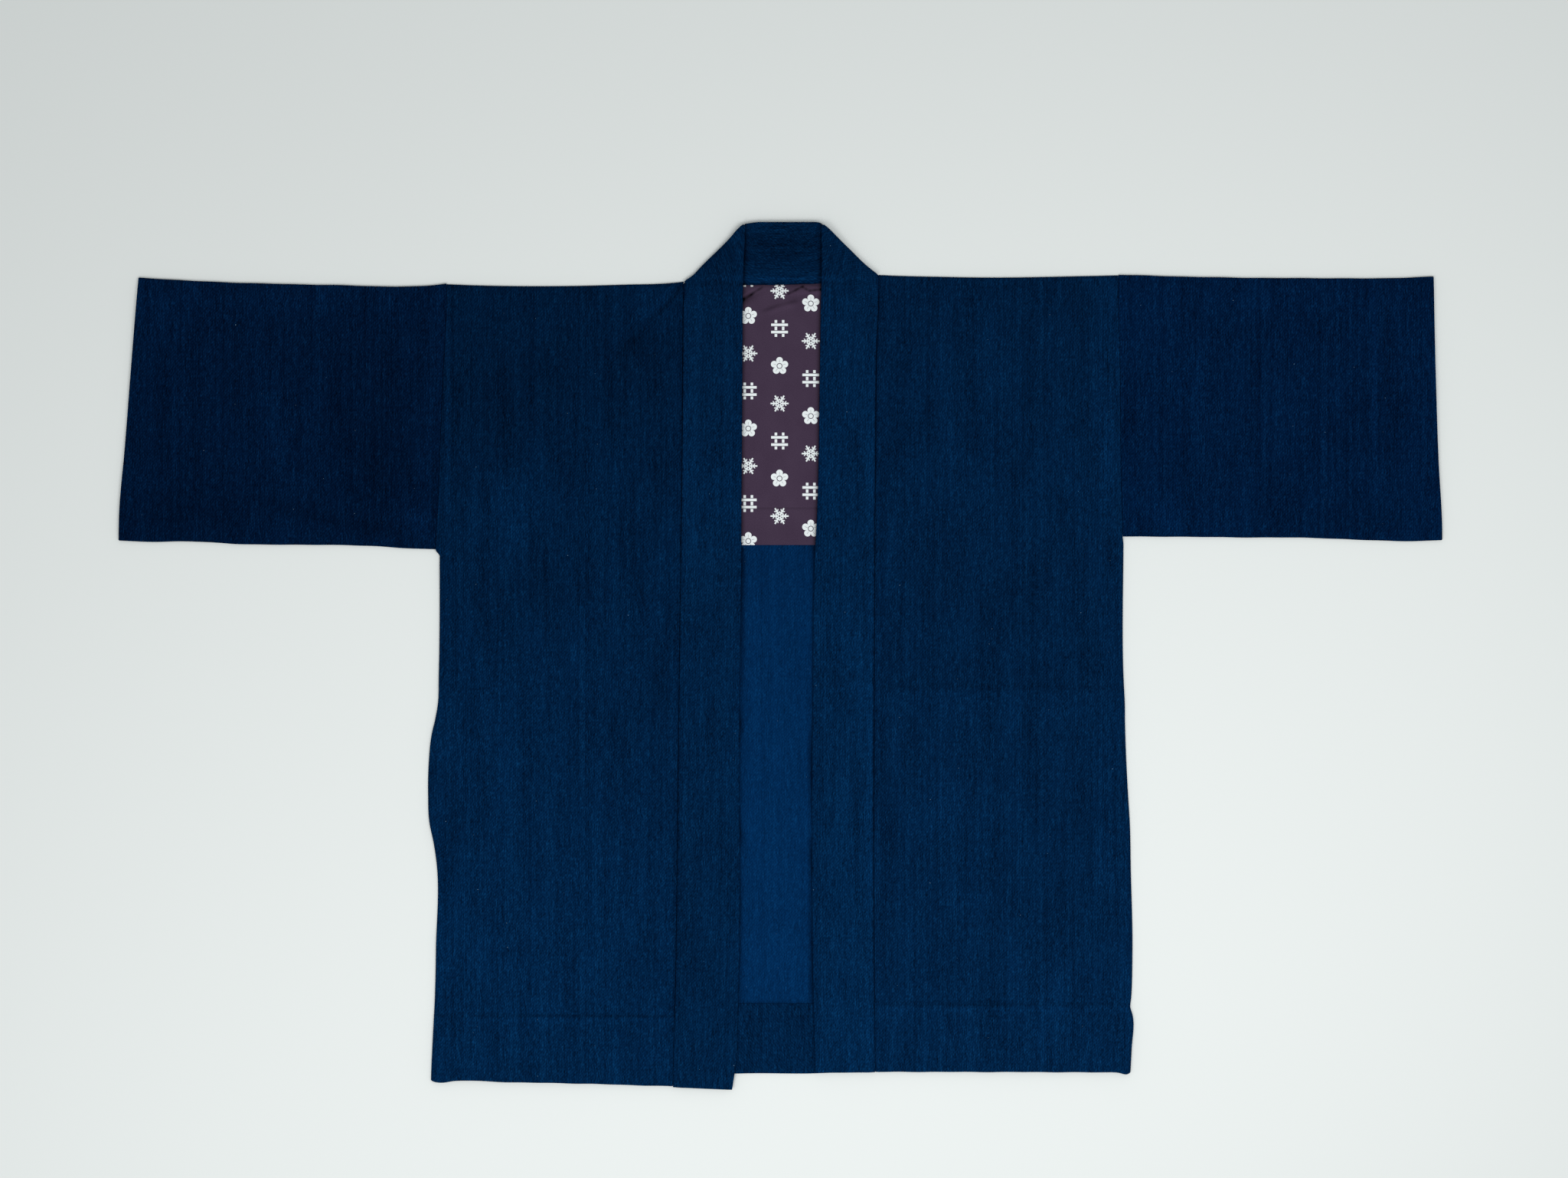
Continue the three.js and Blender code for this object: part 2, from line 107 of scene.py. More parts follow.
BAND_EDGE = table(
    "y right left",
    (429.8, 37.2, 42.8), (361, 37.4, 40.3), (270, 37.8, 38.8), (148, 38.6, 36.5), (88, 38.9, 33.5),
    (-34, 40.6, 32), (-300, 41, 32), (-368, 42.6, 33.3), (-399, 43.6, 34.2), (-430, 47.9, 34.8),
)

SWELLINGS = {  # where what lies under a front lifts it
    "right": creases(
        (100, 364, 146, 316, 11, 1.3, 0), (338, -80, 340, -180, 26, 1.6, 0),
    ),
    "left": creases(
        (336, 60, 338, -60, 20, 0.8, 0),
    ),
}


def read(rows, column, at):
    """The value of a table's column at a place in its first column, on a smooth curve."""
    places = next(iter(rows.values()))
    order = np.argsort(places)
    places, values = places[order], rows[column][order]
    slopes = np.gradient(values, places)
    at = np.clip(at, places[0], places[-1])
    k = np.clip(np.searchsorted(places, at) - 1, 0, len(places) - 2)
    gap = places[k + 1] - places[k]
    t = (at - places[k]) / gap
    ends = (2 * t**3 - 3 * t**2 + 1) * values[k] + (3 * t**2 - 2 * t**3) * values[k + 1]
    bends = (t**3 - 2 * t**2 + t) * slopes[k] + (t**3 - t**2) * slopes[k + 1]
    return ends + gap * bends


def blend(low, high, share):
    return low + (high - low) * share


def bell(distance, width):
    """1 at no distance, and a soft fall to nothing over about twice the width."""
    return np.exp(-((distance / width) ** 2))


def as_column(*parts):
    """Parts one after the other, for what changes from row to row of a grid."""
    return np.concatenate(parts)[:, None]


def as_row(*parts):
    """Parts one after the other, for what changes along each row of a grid."""
    return np.concatenate(parts)[None, :]


def smooth(at, low, high):
    """0 below low, 1 above high, and a soft rise between them."""
    share = np.clip((at - low) / (high - low), 0, 1)
    return share * share * (3 - 2 * share)


def spaced(start, *stretches):
    """Places along an edge from its start on, in stretches of (end, steps)."""
    starts = [start, *(end for end, _ in stretches)]
    parts = [np.linspace(a, b, n + 1)[1:] for a, (b, n) in zip(starts, stretches)]
    return np.concatenate([[start], *parts])


def creased(rows, x, y):
    """The lift of soft ridges and troughs, each along a line that bows a little and fades. The same sum
    paints lighter and darker streaks into the cloth's colour, for the painted shade and highlights of
    creases."""
    lift = np.zeros(np.broadcast(x, y).shape)
    for k, (x0, y0, x1, y1, width, height, bow) in enumerate(zip(*rows.values())):
        run = np.hypot(x1 - x0, y1 - y0)
        ahead = ((x - x0) * (x1 - x0) + (y - y0) * (y1 - y0)) / run
        aside = ((y - y0) * (x1 - x0) - (x - x0) * (y1 - y0)) / run
        share = np.clip(ahead / run, 0, 1)
        aside = aside - bow * np.sin(np.pi * share)
        past = ahead - run * share
        uneven = 0.8 + 0.2 * np.sin(9 * share + 7 * k)
        lift = lift + height * uneven * bell(np.hypot(aside, past * 0.6), width)
    return lift


def toned(rows, x, y):
    """How much lighter or darker soft spots make the cloth."""
    tone = np.zeros(np.broadcast(x, y).shape)
    for x0, y0, half_width, half_height, amount in zip(*rows.values()):
        tone = tone + amount * bell(x - x0, half_width) * bell(y - y0, half_height)
    return tone


def beside_band(x, y, reach):
    """How deep a place lies in the narrow shadow along the two inner edges of the collar."""
    right, left = read(BAND_EDGE, "right", y), read(BAND_EDGE, "left", y)
    return bell(x + right, reach) + bell(left - x, reach)


def drift(x, y, height, seed, longest=0.30):
    """The slow unevenness of cloth that a hand has smoothed out, never below zero."""
    draws = np.random.default_rng(seed)
    total = np.zeros(np.broadcast(x, y).shape)
    for k in range(9):
        turn = draws.uniform(0, np.pi)
        length = longest * 0.8**k
        phase = draws.uniform(0, 2 * np.pi)
        way = x * np.cos(turn) + y * np.sin(turn)
        total = total + 0.85**k * np.sin(2 * np.pi * way / length + phase)
    return height * np.clip(0.5 + total / 5, 0, 1.4)


def under_front(side, out, y):
    """The height of a front's underside, which climbs over the back's turned-up hem."""
    over_hem = 1 - smooth(y, BACK_HEM_TOP + 0.002, BACK_HEM_TOP + 0.024)
    lift = AIR * (1 - over_hem) + creased(SWELLINGS[side], out, y)
    return LAYER * (1 + over_hem) + GAP + lift


def inside_roll(height):
    """How far the back's edge keeps inside the roll of a front that is `height` high there."""
    return height - np.sqrt((height - LAYER) ** 2 - LAYER**2) + GAP + EASE


def unrolled(start, a, b, axis):
    """Distance along the cloth from its first points: the pattern follows the threads there."""
    steps = np.hypot(np.diff(a, axis=axis), np.diff(b, axis=axis))
    total = np.cumsum(steps, axis=axis)
    return start + np.concatenate([np.take(total, [0], axis) * 0, total], axis)


def place(name, data):
    """A new object."""
    thing = bpy.data.objects.new(name, data)
    bpy.context.collection.objects.link(thing)
    return thing


def place_mesh(name, bm):
    """A new object of the scene with the mesh that a bmesh holds."""
    mesh = bpy.data.meshes.new(name)
    bm.to_mesh(mesh)
    bm.free()
    return place(name, mesh)


def lay_cloth(name, points, threads, tone, thickness=CLOTH, tube=False):
    """Lay a fine grid of mesh on rows of points and make a shell of cloth of it. The UV map holds the place
    on the threads in metres, and the attribute tone how light the cloth is, with painted shade and
    highlights in it."""
    rows, columns = points.shape[:2]
    bm = bmesh.new()
    bmesh.ops.create_grid(bm, x_segments=columns - 1, y_segments=rows - 1, size=0.5)
    grid = np.array([vert.co[:2] for vert in bm.verts])
    row = np.rint((grid[:, 1] + 0.5) * (rows - 1)).astype(int)
    column = np.rint((grid[:, 0] + 0.5) * (columns - 1)).astype(int)
    uv_map = bm.loops.layers.uv.new("threads")
    lightness = bm.verts.layers.float.new("tone")
    bm.verts.ensure_lookup_table()
    for vert, r, c in zip(bm.verts, row, column):
        vert.co = points[r, c]
        vert[lightness] = tone[r, c]
    for face in bm.faces:
        face.smooth = True
        for loop in face.loops:
            k = loop.vert.index
            loop[uv_map].uv = threads[row[k], column[k]]
    if tube:
        bmesh.ops.remove_doubles(bm, verts=bm.verts, dist=1e-6)
    piece = place_mesh(name, bm)
    wall = piece.modifiers.new("wall", "SOLIDIFY")
    wall.thickness = thickness
    wall.offset = 0
    return piece


def sew(name, places, way, length, thread):
    """Small stitches of thread at places, all lying along one direction."""
    turn = np.arctan2(way[1], way[0])
    ahead, aside = np.cos(turn), np.sin(turn)
    bm = bmesh.new()
    for x0, y0, z0 in places:
        made = bmesh.ops.create_uvsphere(bm, u_segments=6, v_segments=4, radius=1)["verts"]
        for vert in made:
            x, y, z = vert.co[0] * length / 2, vert.co[1] * thread / 2, vert.co[2] * thread / 2
            vert.co = (x0 + x * ahead - y * aside, y0 + x * aside + y * ahead, z0 + z)
    for face in bm.faces:
        face.smooth = True
    return place_mesh(name, bm)


def add(tree, kind, settings=None, **inputs):
    """Add a shader node and give its outputs: settings are its properties, and inputs are values
    or sockets, by name or as n and a number."""
    node = tree.nodes.new("ShaderNode" + kind)
    for name, value in (settings or {}).items():
        setattr(node, name, value)
    for name, value in inputs.items():
        key = name.replace("_", " ")
        socket = node.inputs[int(key[1:]) if key[1:].isdigit() else key]
        if isinstance(value, bpy.types.NodeSocket):
            tree.links.new(value, socket)
        else:
            socket.default_value = value
    return node.outputs


def math(operation, *values, clamped=False):
    """A sum of numbers and sockets, in the tree of the first of these sockets."""
    tree = next(value.id_data for value in values if isinstance(value, bpy.types.NodeSocket))
    inputs = {f"n{k}": value for k, value in enumerate(values)}
    return add(tree, "Math", {"operation": operation, "use_clamp": clamped}, **inputs)[0]


plus, minus, times, divide, times_plus, absolute = (
    partial(math, name) for name in ("ADD", "SUBTRACT", "MULTIPLY", "DIVIDE", "MULTIPLY_ADD", "ABSOLUTE")
)


def mix(share, first, second):
    """A blend of two colours, each of them a colour or a socket."""
    return add(share.id_data, "Mix", {"data_type": "RGBA"}, n0=share, n6=first, n7=second)[2]


def scaled(color, share):
    return add(color.id_data, "VectorMath", {"operation": "SCALE"}, n0=color, n3=share)[0]


def split(vector):
    return add(vector.id_data, "SeparateXYZ", Vector=vector)


def new_group(name, takes, gives):
    """A group of shader nodes: its tree, what it is given, and what it puts out."""
    tree = bpy.data.node_groups.new(name, "ShaderNodeTree")
    for direction, names in (("INPUT", takes), ("OUTPUT", gives)):
        for socket, kind in names.items():
            tree.interface.new_socket(socket, in_out=direction, socket_type="NodeSocket" + kind)
    given, put = (tree.nodes.new("NodeGroup" + way) for way in ("Input", "Output"))
    return tree, given.outputs, put.inputs


def use_group(tree, group, threads):
    """Put a group of nodes to use on the threads of a piece."""
    node = tree.nodes.new("ShaderNodeGroup")
    node.node_tree = group
    tree.links.new(threads, node.inputs["Threads"])
    return node


def matt(name, roughness, specular, color=(1, 1, 1)):
    """A matt material, with its tree and the inputs of its shader."""
    material = bpy.data.materials.new(name)
    material.use_nodes = True
    inputs = material.node_tree.nodes["Principled BSDF"].inputs
    inputs["Base Color"].default_value = (*color, 1)
    inputs["Roughness"].default_value = roughness
    inputs["Specular IOR Level"].default_value = specular
    return material, material.node_tree, inputs


def speckle(threads, wide, long, detail=0.0):
    """Noise on the threads with marks about `wide` by `long` metres, about 0.5."""
    tree = threads.id_data
    stretched = add(tree, "Mapping", Vector=threads, Scale=(1 / wide, 1 / long, 1.0))
    settings = {"noise_dimensions": "2D"}
    noise = add(tree, "TexNoise", settings, Vector=stretched[0], Scale=1.0, Detail=detail)
    return noise[0]


def yarns(across, along, pitch, length):
    """Unevenness along yarns that lie side by side, each with a run of its own, about 0."""
    tree = across.id_data
    yarn = math("FLOOR", divide(across, pitch))
    run = add(tree, "TexWhiteNoise", {"noise_dimensions": "1D"}, W=yarn)["Value"]
    along_run = times_plus(run, 700.0, divide(along, length))
    noise = add(tree, "TexNoise", {"noise_dimensions": "1D"}, W=along_run, Scale=1.0, Detail=2.0)
    return minus(noise[0], 0.5), minus(run, 0.5)


def indigo_twill():
    """The look of the indigo cotton: twill lines that climb to the right, uneven warp and weft
    yarns with lighter slubs, streaks and clouds of dye, and a little white lint."""
    WARP = 0.00165  # from one warp line to the next
    YARN = 0.00083  # from one yarn to the next
    TWILL = 0.0032  # from one twill line to the next, along either thread
    LINT_CELL = 0.030  # one speck of lint at most in a patch of this size
    LINT = (0.20, 0.33, 0.43, 1)
    takes = {"Threads": "Vector", "Dye": "Color", "Slub Color": "Color", "Tone": "Float"}
    takes |= {"Contrast": "Float", "Clouds": "Float"}
    group, given, put = new_group("indigo twill", takes, {"Color": "Color", "Height": "Float"})
    threads = given["Threads"]
    u, v = split(threads)[:2]
    wander = speckle(threads, 0.012, 0.020)
    warp = math("SINE", times_plus(wander, 3.0, times(u, 2 * np.pi / WARP)))
    climb = times(minus(u, v), 2 * np.pi / TWILL)
    twill = math("SINE", times_plus(wander, 4.0, climb))
    short, own = yarns(u, v, YARN, 0.0075)
    long, _ = yarns(u, v, 0.0013, 0.028)
    grain = minus(speckle(threads, 0.0010, 0.0024), 0.5)
    streak = minus(speckle(threads, 0.0045, 0.16, 2.0), 0.5)
    cloud = minus(speckle(threads, 0.022, 0.095, 3.0), 0.5)
    weave = times_plus(warp, 0.05, times(twill, 0.10))
    parts = (short, 1.15), (long, 0.66), (grain, 0.80), (streak, 0.46), (own, 0.20)
    for part, strength in parts:
        weave = times_plus(part, strength, weave)
    clouded = times_plus(cloud, given["Clouds"], 1.0)
    level = times_plus(weave, given["Contrast"], clouded)
    level = times(math("MAXIMUM", level, 0.25), given["Tone"])
    slub = add(group, "MapRange", Value=weave, From_Min=0.00, From_Max=0.70)[0]
    slub = times(slub, times(given["Contrast"], 0.30))
    shaded = scaled(mix(slub, given["Dye"], given["Slub Color"]), level)
    cell = add(group, "Mapping", Vector=threads, Scale=(1 / LINT_CELL, 1 / LINT_CELL, 1.0))
    settings = {"voronoi_dimensions": "2D"}
    speck = add(group, "TexVoronoi", settings, Vector=cell[0], Scale=1.0)
    chance = split(speck["Color"])
    size = times(minus(chance[0], 0.72), 0.040)
    lint = times(math("LESS_THAN", speck["Distance"], size), chance[1])
    height = times_plus(warp, 0.3, times_plus(twill, 0.4, times(short, 1.2)))
    group.links.new(mix(lint, shaded, LINT), put["Color"])
    group.links.new(height, put["Height"])
    return group


TWILL_LOOK = indigo_twill()


def indigo(name, dye, slub, contrast=1.0, clouds=0.62, marked=True):
    """A finish of indigo cotton: matt, with a very faint nap. Where it is marked, it takes the lighter and
    darker places, painted shade and highlights among them, from the attribute tone."""
    material, tree, inputs = matt(name, 0.92, 0.006)
    nap = {"Sheen Weight": 0.02, "Sheen Roughness": 0.45, "Sheen Tint": (0.1, 0.3, 0.7, 1)}
    look = use_group(tree, TWILL_LOOK, add(tree, "UVMap", {"uv_map": "threads"})[0])
    dyed = {"Dye": (*dye, 1), "Slub Color": (*slub, 1), "Contrast": contrast, "Clouds": clouds}
    for shown, values in ((inputs, nap), (look.inputs, {**dyed, "Tone": 1.0})):
        for socket, value in values.items():
            shown[socket].default_value = value
    if marked:
        tone = add(tree, "Attribute", {"attribute_name": "tone"})["Fac"]
        tree.links.new(tone, look.inputs["Tone"])
    bump = add(tree, "Bump", Strength=0.5, Distance=0.00025, Height=look.outputs["Height"])
    tree.links.new(look.outputs["Color"], inputs["Base Color"])
    tree.links.new(bump[0], inputs["Normal"])
    return material


def finish(piece, material):
    """Give a piece its material, and let it ride with the jacket."""
    piece.data.materials.append(material)
    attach(piece, "root")


def back_points():
    SEWN_FROM = 0.002  # above the underarm, where the sleeve's seam takes over from the side
    HEM_EASE = 0.0035  # over this length the turned-up edge comes down to the back
    hem = BACK_EDGE["y"][2]
    neck = NECK_SEAM["y"][2]
    rise_from = neck - 0.180  # above here the rows bend to the slant of the shoulders
    flat_from = hem + LAYER
    turned = np.linspace(0, np.pi, 9)[1:-1]
    up = spaced(BACK_HEM_TOP, (BACK_HEM_TOP - 0.004, 5), (flat_from, 18))
    down = spaced(flat_from, (BACK_HEM_TOP, 20), (neck, 150))
    level = as_column(up, flat_from - HEM_ROLL * np.sin(turned), down)
    edge_drop = (LAYER - CLOTH) * (1 - smooth(BACK_HEM_TOP - up, 0, HEM_EASE))
    height = as_column(
        2 * LAYER - CLOTH / 2 - edge_drop,
        LAYER + HEM_ROLL * np.cos(turned),
        0 * down + CLOTH / 2,
    )
    share = np.linspace(0, 1, 121)[None, :]

    def side_at(side):
        edge = read(SIDE, side, level)
        high = under_front(side, edge, level) + LAYER
        rolled = edge - inside_roll(high)
        sewn = read(ARMHOLE, side, level) + GAP / 2
        return np.where(level > UNDERARM[side] + SEWN_FROM, sewn, rolled)

    x = blend(side_at("left"), -side_at("right"), share)
    top = {}
    for side in WAY_OUT:
        fold = read(SHOULDER, side, np.abs(x)) - inside_roll(2 * LAYER + GAP + AIR)
        neck_line = read(NECK_SEAM, "y", x) + GAP
        top[side] = np.where(np.abs(x) > SHOULDER_OUT[side], fold, neck_line)
    low = np.maximum(0, (BACK_HEM_TOP - level) / (BACK_HEM_TOP - hem))
    high = np.maximum(0, (level - rise_from) / (neck - rise_from))
    y = level + (read(BACK_EDGE, "y", x) - hem) * low
    y = y + (np.where(x < 0, top["right"], top["left"]) - neck) * high
    inside_strip = 1 - smooth(np.abs(x), 0.08, 0.12)
    settled = smooth(level, BACK_HEM_TOP + 0.01, BACK_HEM_TOP + 0.05) * inside_strip
    z = height + drift(x, y, 0.0005, seed=3, longest=0.16) * settled
    z = z + 0.0009 * smooth(level, neck - 0.005, neck) * smooth(0.093 - np.abs(x), 0, 0.006)
    return np.stack([x, y, z], -1), np.stack([x, unrolled(y[:1], y, 0 * y + height, 0)], -1)


points, threads = back_points()
# Spots of tone, and painted shadow: the dark line along the top of the turned-up hem and the two dark lines
# beside the collar's inner edges.
BACK_TONES_AND_SHADE = spots(
    (0, 90, 60, 30, -0.06), (0, -200, 50, 100, 0.05), (0, -344.8, 600, 0.9, -0.14), (0, -310, 60, 40, 0.09),
    (-39, -120, 4, 300, -0.12), (34, -120, 4, 300, -0.12),
)
x, y = points[..., 0], points[..., 1]
# Tone from spots, less the painted shadow along the collar's inner edges.
tone = 1 + toned(BACK_TONES_AND_SHADE, x, y) - BAND_SHADOW * beside_band(x, y, 0.0018)
back = lay_cloth("back_panel", points, threads, tone)
INSIDE_DYE = (0.0006, 0.0193, 0.0738)
INSIDE_SLUB = (0.004, 0.050, 0.135)
OUTER_DYE = (0.0005, 0.0132, 0.0476)
OUTER_SLUB = (0.0030, 0.036, 0.098)
inside_cotton = indigo("indigo cotton, inside", INSIDE_DYE, INSIDE_SLUB, contrast=0.66, clouds=0.30)
outer_cotton = indigo("indigo cotton, outside of the back", OUTER_DYE, OUTER_SLUB, marked=False)
back.data.materials.append(outer_cotton)
back.modifiers["wall"].material_offset = 1  # the side away from the outer face shows the inside
finish(back, inside_cotton)
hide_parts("back")

across = np.arange(-0.335, 0.335, HEM_STITCH)
stitch_y, stitch_z = BACK_HEM_TOP - STITCH_IN, LAYER + CLOTH
places = [(x0, stitch_y, stitch_z) for x0 in across]
back_stitches = sew("back_hem_stitches", places, (0.35, 1.0), 0.0016, 0.00035)
dark_thread = matt("dark indigo thread", 0.8, 0.1, (0.0004, 0.006, 0.024))[0]
finish(back_stitches, dark_thread)

# -------- the lining of the shoulders
# A thin plain-woven cotton with a small white print on a plum ground, sewn inside the neck and
# hanging free below a line of stitches. Its sides go under the collar, and its lower edge is
# turned under.

LINING = 0.0005  # its cloth
LINING_STACK = 0.0010  # the height that it takes in the stack
LINING_PLACE = {"right": -0.060, "left": 0.056, "top": 0.3668, "bottom": 0.1098}
LINING_SEAM_Y = 0.1463  # the line of stitches across the lining
LINING_FOLDS = creases(
    (-41, 354, -18, 366.5, 2.6, 1.8, 0.4), (-40, 349, -22, 360, 3, -0.7, 0.4),
    (6, 360, 21, 367.2, 2.2, 1.1, 0), (20, 367.4, 42, 364.4, 2.2, 1.2, 0), (6, 357, 40, 359, 3.4, -0.6, 1),
    (-16, 340, 13, 348, 5, 0.7, 0.8), (-30, 240, 20, 230, 12, 0.4, 2), (-36, 138, 40, 140, 5, 0.4, 1),
)


def lining_points():
    TURN_UNDER = 0.012
    right, left, top, bottom = LINING_PLACE.values()
    roll = (LINING_STACK - LINING) / 2
    flat_from = bottom + roll + LINING / 2
    turned = np.linspace(np.pi, 0, 7)[1:-1]
    up = spaced(flat_from, (LINING_SEAM_Y, 24), (LINING_SEAM_Y + 0.004, 6), (0.335, 100), (top, 36))
    under = np.linspace(flat_from + TURN_UNDER, flat_from, 8)
    level = as_column(under, flat_from - roll * np.sin(turned), up)
    x = np.linspace(right, left, 121)[None, :] + 0 * level
    seam = read(NECK_SEAM, "y", x) + GAP
    above = np.clip((level - bottom) / (top - bottom), 0, 1)
    y = np.where(level > flat_from, blend(level, level + seam - top, above), level)
    on_back = LAYER + GAP
    height = as_column(
        0 * under + on_back + LINING / 2,
        on_back + LINING_STACK / 2 + roll * np.cos(turned),
        0 * up + on_back + LINING_STACK - LINING / 2,
    )
    upper = as_column(0 * under, 0 * turned, 0 * up + 1)
    relief = creased(LINING_FOLDS, x, y) + drift(x, y, 0.0004, seed=11, longest=0.08) - 0.0002
    groove = -0.00035 * bell(y - LINING_SEAM_Y, 0.0012)
    z = height + upper * (relief + groove)
    return np.stack([x, y, z], -1), np.stack([x, unrolled(y[:1], y, 0 * y + height, 0)], -1)


def printed_motifs():
    """A white print of plum blossoms, well curbs and snow crystals in slanting rows. It puts out
    how white the print is."""
    COLUMN = 0.0310  # from one column of motifs to the next
    PITCH = 0.0372  # from one motif to the next in a column
    SHARP = 3.0  # how sharp the print's edges are, over a millimetre
    group, given, put = new_group("printed motifs", {"Threads": "Vector"}, {"Mask": "Float"})
    u, v = split(given["Threads"])[:2]

    def inside(distance):
        """1 where a distance in millimetres is above zero, with a soft edge."""
        return times_plus(distance, SHARP, 0.5, clamped=True)

    along = divide(plus(u, COLUMN * 20.53), COLUMN)
    column = math("FLOOR", along)
    p = times(minus(math("FRACT", along), 0.5), COLUMN * 1000)
    slide = times_plus(column, 1 / 3, divide(plus(v, 0.5), PITCH))
    row = math("FLOOR", slide)
    q = times(minus(math("FRACT", slide), 0.5), PITCH * 1000)
    kind = math("FLOORED_MODULO", plus(row, column), 3.0)
    r = math("SQRT", times_plus(p, p, times(q, q)))
    angle = math("ARCTAN2", p, q)

    petal = absolute(math("COSINE", times(angle, 2.5)))
    reach = times_plus(math("POWER", petal, 0.45), 4.9, 3.9)
    blossom = inside(minus(reach, r))
    ring = minus(0.35, absolute(minus(r, 2.5)))
    vein = minus(0.30, absolute(times(math("SINE", times(angle, 2.5)), r)))
    vein = times(inside(vein), inside(minus(6.4, r)))
    vein = times(vein, inside(minus(r, 3.4)))
    blossom = times(blossom, minus(1.0, math("MAXIMUM", inside(ring), vein)))

    over, side = absolute(p), absolute(q)
    bar_one = minus(1.25, absolute(minus(over, 3.6)))
    bar_two = minus(1.25, absolute(minus(side, 3.6)))
    upright = times(inside(bar_one), inside(minus(8.3, side)))
    level = times(inside(bar_two), inside(minus(8.3, over)))
    gap = times(inside(plus(bar_two, 0.6)), minus(1.0, inside(bar_two)))
    curb = math("MAXIMUM", times(upright, minus(1.0, gap)), level)

    sixth = math("FRACT", divide(plus(angle, 4 * np.pi), np.pi / 3))
    arm = times(minus(sixth, 0.5), np.pi / 3)
    ahead = times(r, math("COSINE", arm))
    aside = absolute(times(r, math("SINE", arm)))
    crystal = times(inside(minus(0.75, aside)), inside(minus(9.0, ahead)))
    for start, longest in ((2.6, 2.0), (5.0, 2.3)):
        slant = minus(ahead, times_plus(aside, 0.62, start))
        branch = minus(0.62, absolute(slant))
        branch = times(inside(branch), inside(minus(longest, aside)))
        crystal = math("MAXIMUM", crystal, branch)
    crystal = times(crystal, inside(minus(r, 0.9)))

    mask = 0.0
    for k, motif in enumerate((blossom, curb, crystal)):
        mask = times_plus(math("COMPARE", kind, float(k), 0.5), motif, mask)
    group.links.new(mask, put["Mask"])
    return group


def printed_cotton():
    PLUM = (0.0475, 0.0290, 0.0545, 1)
    PLUM_LIGHT = (0.070, 0.046, 0.080, 1)
    WHITE = (0.86, 0.91, 0.92, 1)
    material, tree, inputs = matt("printed lining cotton", 0.88, 0.05)
    threads = add(tree, "UVMap", {"uv_map": "threads"})[0]
    motifs = use_group(tree, printed_motifs(), threads)
    grain = speckle(threads, 0.0011, 0.0011, 2.0)
    cloud = speckle(threads, 0.02, 0.03, 2.0)
    tone = add(tree, "Attribute", {"attribute_name": "tone"})["Fac"]
    lighter = times_plus(cloud, 0.5, times_plus(grain, 0.8, -0.35))
    worn = minus(1.0, times(grain, 0.10))
    white = times(motifs.outputs["Mask"], worn)
    printed = mix(white, mix(lighter, PLUM, PLUM_LIGHT), WHITE)
    tree.links.new(scaled(printed, tone), inputs["Base Color"])
    bump = add(tree, "Bump", Strength=0.35, Distance=0.00015, Height=grain)
    tree.links.new(bump[0], inputs["Normal"])
    return material


points, threads = lining_points()
# Painted shade and highlights along the wrinkles at the top of the lining.
LINING_WRINKLE_SHADE = streaks(
    (-39, 352.2, -30.5, 357.2, 1.8, -0.62, 0), (-28.5, 358.4, -19, 364.6, 1.2, -0.62, 0.4),
    (-40, 350, -31, 354.5, 3.4, -0.34, 0), (-37.2, 357.5, -23, 365.5, 1.6, 0.26, 0),
    (8.5, 359.2, 21.4, 365.8, 1.2, -0.8, 0), (22.8, 364.9, 28.5, 362, 1.2, -0.66, 0),
    (30.5, 362.2, 40, 363.2, 1.3, -0.76, 0), (11, 357.8, 39, 359, 2.2, 0.2, 1),
    (-15, 342.6, 14, 351.2, 2, -0.3, 0.6), (-9, 340.2, 12, 347, 2.8, 0.14, 0.6),
)
LINING_TONES = spots(
    (0, 367.5, 200, 2.2, -0.35), (0, 1000 * LINING_SEAM_Y, 100, 0.9, -0.22), (0, 120, 100, 15, -0.05),
)
x, y = points[..., 0], points[..., 1]
tone = 1 + toned(LINING_TONES, x, y) + creased(LINING_WRINKLE_SHADE, x, y)
# Painted shadow along the collar's inner edges.
tone = tone - 0.50 * beside_band(x, y, 0.0026)
lining = lay_cloth("shoulder_lining", points, threads, tone, LINING)
finish(lining, printed_cotton())
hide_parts("yoke_lining")

# -------- the two fronts
# Each front is one narrower width of the same cotton, from the collar's seam to the side, where
# it is sewn to the back and rolls down to the table. Its lower edge is turned up inside, and
# blind stitches hold the hem. Soft creases are left from folding and from wear.

FRONT_HEM = {"right": 0.067, "left": 0.068}
HEM_STEP = 0.003  # over this length a front's hem thins to one layer
SEAM_GAP = 0.0004
PULLED_WIDTH = 0.0018  # how far from a seam the cloth is pulled down
MIDDLE = 0.200  # how far out the height of a front's hem and shoulder is read
FRONT_EDGE = table(
    "out right left",
    (92, -427.2, -412.4), (200, -423.9, -412.4), (290, -421.8, -412.6), (306, -421, -412.7),
    (322, -421.4, -412.8), (336, -423.2, -413.4), (342, -422.6, -414.8), (350, -420.6, -413.2),
)
BAND_SEAM = table(
    "y right left",
    (378, 95.8, 97.3), (361, 95.8, 97.3), (316, 96, 95), (194, 97, 93.5), (42, 99, 92.7), (-64, 100.3, 92),
    (-262, 102.6, 92), (-338, 103.8, 92.7), (-399, 105.6, 93.5), (-430, 106.4, 93.8),
)
